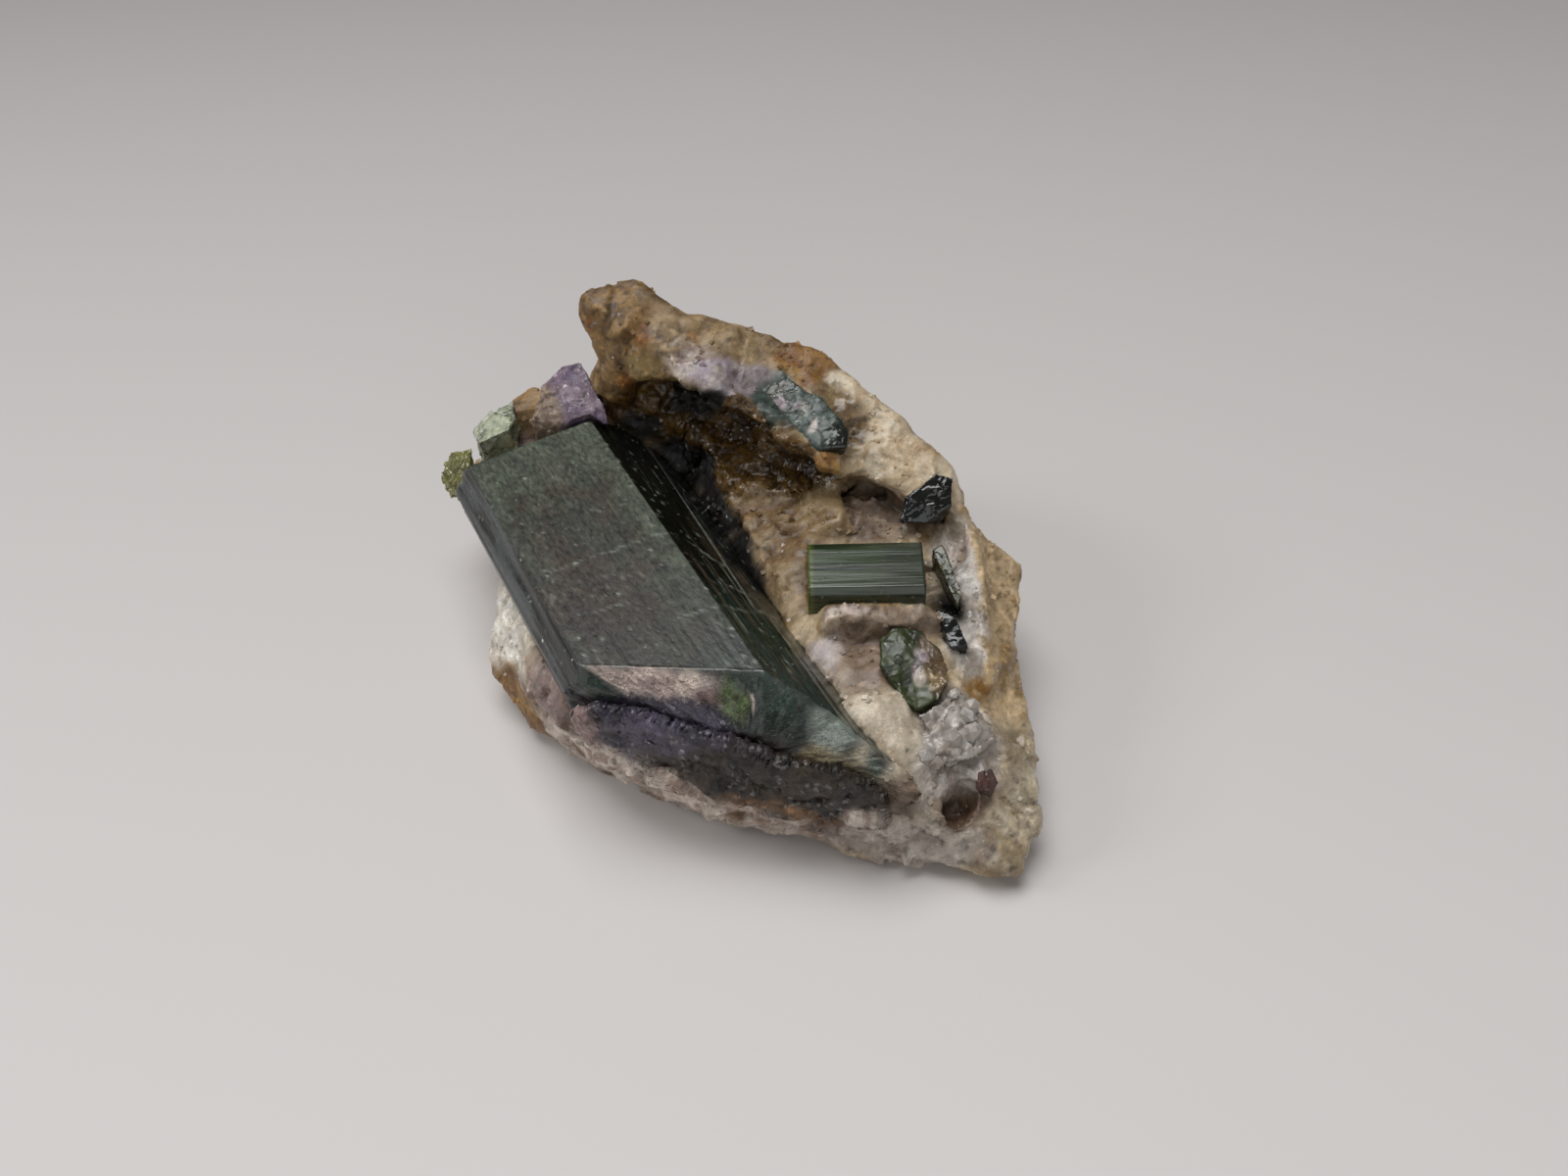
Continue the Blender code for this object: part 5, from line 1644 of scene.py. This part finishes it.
LUMPS = (
    Lump(
        "etched_teal_crystal",
        "crest_tourmaline",
        "blue_green_tourmaline",
        Painter(
            Stone.TEAL_TOURMALINE,
            (
                Zone(Stone.BLACK_TOURMALINE, (6.5, 1.5, 10.4), (0.9, 0.9, 0.9)),
                Zone(Stone.DEEP_TOURMALINE, (3.4, 4.4, 11.2), (0.6, 0.6, 0.9)),
                Zone(Stone.PALE_MICA, (3.4, 3.4, 12.2), (0.3, 0.4, 0.4)),
                Zone(Stone.PALE_MICA, (4.7, 3.3, 12.1), (0.22, 0.3, 0.3)),
                Zone(Stone.PALE_MICA, (5.3, 2.2, 11.6), (0.2, 0.3, 0.3)),
            ),
            seed=51,
        ),
        0.06,
        0.1,
    ),
    Lump(
        "rim_crystal",
        "rim_tourmaline",
        "dark_green_tourmaline",
        Painter(
            Stone.BLUE_BLACK_TOURMALINE,
            (Zone(Stone.BLACK_TOURMALINE, (11.2, -1.2, 9.0), (0.7, 0.8, 0.9)),),
            seed=52,
        ),
        0.06,
    ),
    Lump(
        "sliver_crystal",
        "sliver_tourmaline",
        "olive_green_tourmaline",
        Painter(Stone.DEEP_TOURMALINE, seed=53),
        0.05,
    ),
    Lump(
        "dark_end_crystal",
        "dark_end_tourmaline",
        "dark_green_tourmaline",
        Painter(Stone.BLUE_BLACK_TOURMALINE, seed=54),
        0.05,
    ),
    Lump(
        "yellow_green_crystal",
        "yellow_green_tourmaline",
        "olive_green_tourmaline",
        Painter(Stone.OLIVE_TOURMALINE, seed=55),
        0.05,
    ),
    Lump(
        "frosted_crystal",
        "pale_tourmaline",
        "blue_green_tourmaline",
        Painter(
            Stone.PALE_TOURMALINE,
            # Painted light: the frosted crystal's shaded side is lifted to a lit grey-green.
            (Zone(Stone.GREY_GREEN_TOURMALINE, (-10.9, 8.0, 8.4), (0.8, 1.4, 1.2)),),
            seed=56,
        ),
        0.06,
    ),
    Lump(
        "glassy_knot",
        "glassy_tourmaline_knot",
        "olive_green_tourmaline",
        Painter(
            Stone.LEAF_TOURMALINE,
            (
                Zone(Stone.PALE_MICA, (8.5, -9.5, 7.2), (0.3, 0.4, 0.4)),
                Zone(Stone.PALE_MICA, (8.2, -10.6, 6.9), (0.3, 0.4, 0.4)),
                Zone(Stone.MAUVE_BED, (8.9, -9.3, 7.0), (0.4, 0.6, 0.5)),
                Zone(Stone.SMOKY_QUARTZ, (9.2, -10.2, 6.6), (0.5, 0.7, 0.6)),
            ),
            seed=57,
        ),
        0.06,
    ),
    Lump(
        "lilac_book",
        "lepidolite_book",
        "lilac_lepidolite",
        Painter(
            Stone.BOOK_MICA,
            (
                Zone(Stone.MAUVE_BED, (-9.2, 7.6, 9.2), (0.7, 1.0, 1.6)),
                Zone(Stone.PINK_MICA, (-6.4, 7.0, 7.6), (0.8, 0.8, 0.8)),
            ),
            seed=58,
        ),
        0.07,
    ),
    Lump(
        "violet_seam",
        "lepidolite_seam",
        "lilac_lepidolite",
        Painter(
            Stone.VIOLET_SEAM,
            (
                Zone(Stone.DARK_SEAM, (3.4, -15.0, 5.2), (3.4, 1.6, 1.8)),
                Zone(Stone.DARK_SEAM, (-1.0, -13.4, 5.6), (3.0, 1.2, 0.9)),
                Zone(Stone.RIM_SCALES, (-6.5, -11.6, 4.5), (1.8, 1.3, 0.8)),
                Zone(Stone.RIM_SCALES, (-3.9, -12.9, 4.4), (2.2, 1.1, 0.9)),
                Zone(Stone.RIM_SCALES, (-0.8, -14.0, 3.8), (1.8, 0.8, 0.5)),
                Zone(Stone.RIM_BROWN, (0.0, -14.2, 4.4), (1.2, 0.6, 0.4)),
                Zone(Stone.RIM_BROWN, (2.6, -15.2, 4.1), (2.2, 0.7, 0.45)),
                Zone(Stone.RIM_SCALES, (4.6, -15.8, 4.3), (1.4, 0.6, 0.5)),
                Zone(Stone.PINK_MICA, (-7.2, -11.0, 6.4), (0.7, 0.8, 1.2)),
            ),
            seed=59,
        ),
        0.085,
        0.3,
    ),
    Lump("sugar_quartz", "sugary_quartz", "white_quartz", Painter(Stone.SUGAR_QUARTZ, seed=61), 0.07),
    Lump("garnet_grain", "garnet", "brown_garnet", Painter(Stone.GARNET, seed=62), 0.04),
)


# Studio.


@dataclass(frozen=True)
class Studio:
    """The pale floor, the soft light and the camera."""

    floor_tone: str = "#DEDAD8"
    # Painted shade: the floor darkens towards the back.
    back_shade_tone: str = "#827E7D"
    back_from: float = -0.03  # m to the back, where the floor starts to darken
    back_to: float = 0.16
    sky_tone: str = "#C4C2C2"
    floor_size: float = 1.2  # m
    sky_strength: float = 0.26
    # Name, place in metres, side in metres and power in watts of each soft light.
    lights: tuple[tuple[str, tuple[float, float, float], float, float], ...] = (
        ("top_softbox", (-0.03, 0.06, 0.30), 0.2, 0.64),
        ("left_softbox", (-0.28, 0.05, 0.20), 0.1, 0.24),
        ("front_fill", (0.06, -0.32, 0.16), 0.25, 0.17),
    )

    def build(self) -> None:
        """Sets up floor, lights, world and camera."""
        self.floor()
        for name, place, size, power in self.lights:
            self.light(name, place, size, power)
        world = bpy.data.worlds.new("studio")
        world.use_nodes = True
        sky = world.node_tree.nodes["Background"]
        sky.inputs["Color"].default_value = (*linear(self.sky_tone), 1.0)
        sky.inputs["Strength"].default_value = self.sky_strength
        bpy.context.scene.world = world
        bpy.context.scene.view_settings.view_transform = "Standard"
        self.camera()

    def floor(self) -> None:
        """Lays out matt paper, darkened with painted shade towards the back."""
        mesh = bpy.data.meshes.new("floor")
        bm = bmesh.new()
        bmesh.ops.create_grid(bm, x_segments=1, y_segments=1, size=self.floor_size)
        bm.to_mesh(mesh)
        bm.free()
        floor = new_piece("floor", mesh)
        paper = bpy.data.materials.new("floor_paper_matt")
        paper.use_nodes = True
        shader = paper.node_tree.nodes["Principled BSDF"]
        add = partial(add_node, paper.node_tree)
        parts = add("ShaderNodeSeparateXYZ", {0: add("ShaderNodeTexCoord").outputs["Object"]})
        back = add(
            "ShaderNodeMapRange",
            {"Value": parts.outputs["Y"], "From Min": self.back_from, "From Max": self.back_to},
        )
        near, far = [(*linear(tone), 1.0) for tone in (self.floor_tone, self.back_shade_tone)]
        tone = add("ShaderNodeMix", {"Factor": back.outputs[0], 6: near, 7: far}, data_type="RGBA")
        paper.node_tree.links.new(tone.outputs[2], shader.inputs["Base Color"])
        shader.inputs["Roughness"].default_value = 0.7
        mesh.materials.append(paper)

    def light(self, name: str, place: tuple[float, float, float], size: float, power: float) -> None:
        """Adds a square soft light that looks at the specimen.

        Args:
            name: The light's name.
            place: Its place in metres.
            size: Its side in metres.
            power: Its power in watts.
        """
        lamp = bpy.data.lights.new(name, "AREA")
        lamp.shape = "SQUARE"
        lamp.size = size
        lamp.energy = power
        holder = bpy.data.objects.new(name, lamp)
        bpy.context.scene.collection.objects.link(holder)
        holder.location = place
        holder.rotation_euler = (-Vector(place)).to_track_quat("-Z", "Y").to_euler()

    def camera(self) -> None:
        """Sets the camera where the photograph was taken from."""
        lens = bpy.data.cameras.new("camera")
        lens.sensor_width = SENSOR
        lens.lens = FOCAL_PIXELS / IMAGE_WIDTH * SENSOR
        lens.clip_start = 0.001
        lens.clip_end = 10.0
        holder = bpy.data.objects.new("camera", lens)
        bpy.context.scene.collection.objects.link(holder)
        place = (np.array(EYE) + SURVEY_MOVE) * MM
        columns = [Vector(EYE_RIGHT), -Vector(EYE_DOWN), -Vector(EYE_AHEAD), Vector(place)]
        turned = Matrix([[c[i] for c in columns] for i in range(3)] + [[0.0, 0.0, 0.0, 1.0]])
        holder.matrix_world = turned
        bpy.context.scene.camera = holder


# Assembly.


def build_rock(nodes: dict[str, bpy.types.Object]) -> None:
    """Builds the rock and the crumbs that lie on it.

    Args:
        nodes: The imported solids.
    """
    finish = ROCK_FINISH.build()
    crumbs = Scatter("albite_crumbs", Form.BLOCK, 3.6, 0.1, 0.3, 0.6, 0.8, 7)
    for piece in Rock().build(nodes, finish):
        points = to_survey(piece.data)
        facing = normals_of(piece.data)
        hand_over(piece, ("matrix",))
        bed = smooth_step(noise(points, 1.4, 95, 2), 0.1, 0.7) * smooth_step(facing[:, 2], -0.1, 0.3)
        bed *= smooth_step(points[:, 2], 0.4, 1.2)
        low, high = [np.array(c) / MM - SURVEY_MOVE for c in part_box("matrix")]
        inside = np.minimum(points - low, high - points).min(axis=1)
        bed *= smooth_step(inside, 0.2, 0.6)
        grown = crumbs.grow(piece, bed, finish)
        grown.name = grown.data.name = piece.name.replace("rock", "crumbs_on")
        hand_over(grown, (), smooth=False)


def build_prisms() -> None:
    """Builds the long and the short prism, and the mica scales on the long one's broken end."""
    piece, grain = PRISM_SHAPE.build()
    LongPrism(PRISM_SHAPE).paint(piece, grain)
    piece.data.materials.append(PRISM_FINISH.build())
    hand_over(piece, ("main_tourmaline",))
    scales = Scatter("mica_scales_on_prism", Form.SCALE, 12.0, 0.12, 0.36, 0.1, 0.45, 11)
    bed = np.empty(len(piece.data.vertices), np.float32)
    piece.data.attributes["bed"].data.foreach_get("value", bed)
    mica = scales.grow(piece, bed.astype(float), MICA_FINISH.build())
    hand_over(mica, (), smooth=False)
    short_shape = Prism(
        "short_prism",
        "small_tourmaline_prism",
        SMALL_SECTION,
        -5.5,
        (6.85, -4.75, 0.0),
        -2.85,
        2.75,
        across_face=0.05,
        along_face=0.12,
        groove=0.03,
        seed=9,
    )
    piece, grain = short_shape.build()
    ShortPrism(short_shape).paint(piece, grain)
    piece.data.materials.append(SMALL_PRISM_FINISH.build())
    hand_over(piece, ("small_tourmaline_prism",))


def build_lumps(nodes: dict[str, bpy.types.Object]) -> None:
    """Builds the smaller crystals, and the scales and grains that grow on them.

    Args:
        nodes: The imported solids.
    """
    chip, mica, quartz = CHIP_FINISH.build(), MICA_FINISH.build(), QUARTZ_FINISH.build()
    finishes = {"lilac_lepidolite": mica, "white_quartz": quartz}
    made = {lump.name: lump.build(nodes, finishes.get(lump.slot, chip)) for lump in LUMPS}
    grains_of_quartz = Scatter("quartz_grains", Form.GRAIN, 1.7, 0.5, 1.2, 0.8, 1.6, 21)
    scales_of_mica = Scatter("seam_scales", Form.SCALE, 12.0, 0.12, 0.36, 0.1, 0.35, 22)
    growths = (
        (grains_of_quartz, "sugar_quartz", "white_quartz", quartz),
        (scales_of_mica, "violet_seam", "lilac_lepidolite", mica),
    )
    for scatter, carrier, slot, finish in growths:
        points = to_survey(made[carrier].data)
        bed = smooth_step(noise(points, 0.9, scatter.seed, 2), -0.4, 0.5)
        hand_over(scatter.grow(made[carrier], bed, finish), (), smooth=False)


def main() -> None:
    """Builds every piece in order."""
    logging.basicConfig(level=logging.INFO, format="%(message)s")
    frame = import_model()
    Studio().build()
    nodes = frame["nodes"]
    build_rock(nodes)
    build_prisms()
    build_lumps(nodes)


if __name__ == "__main__":
    main()
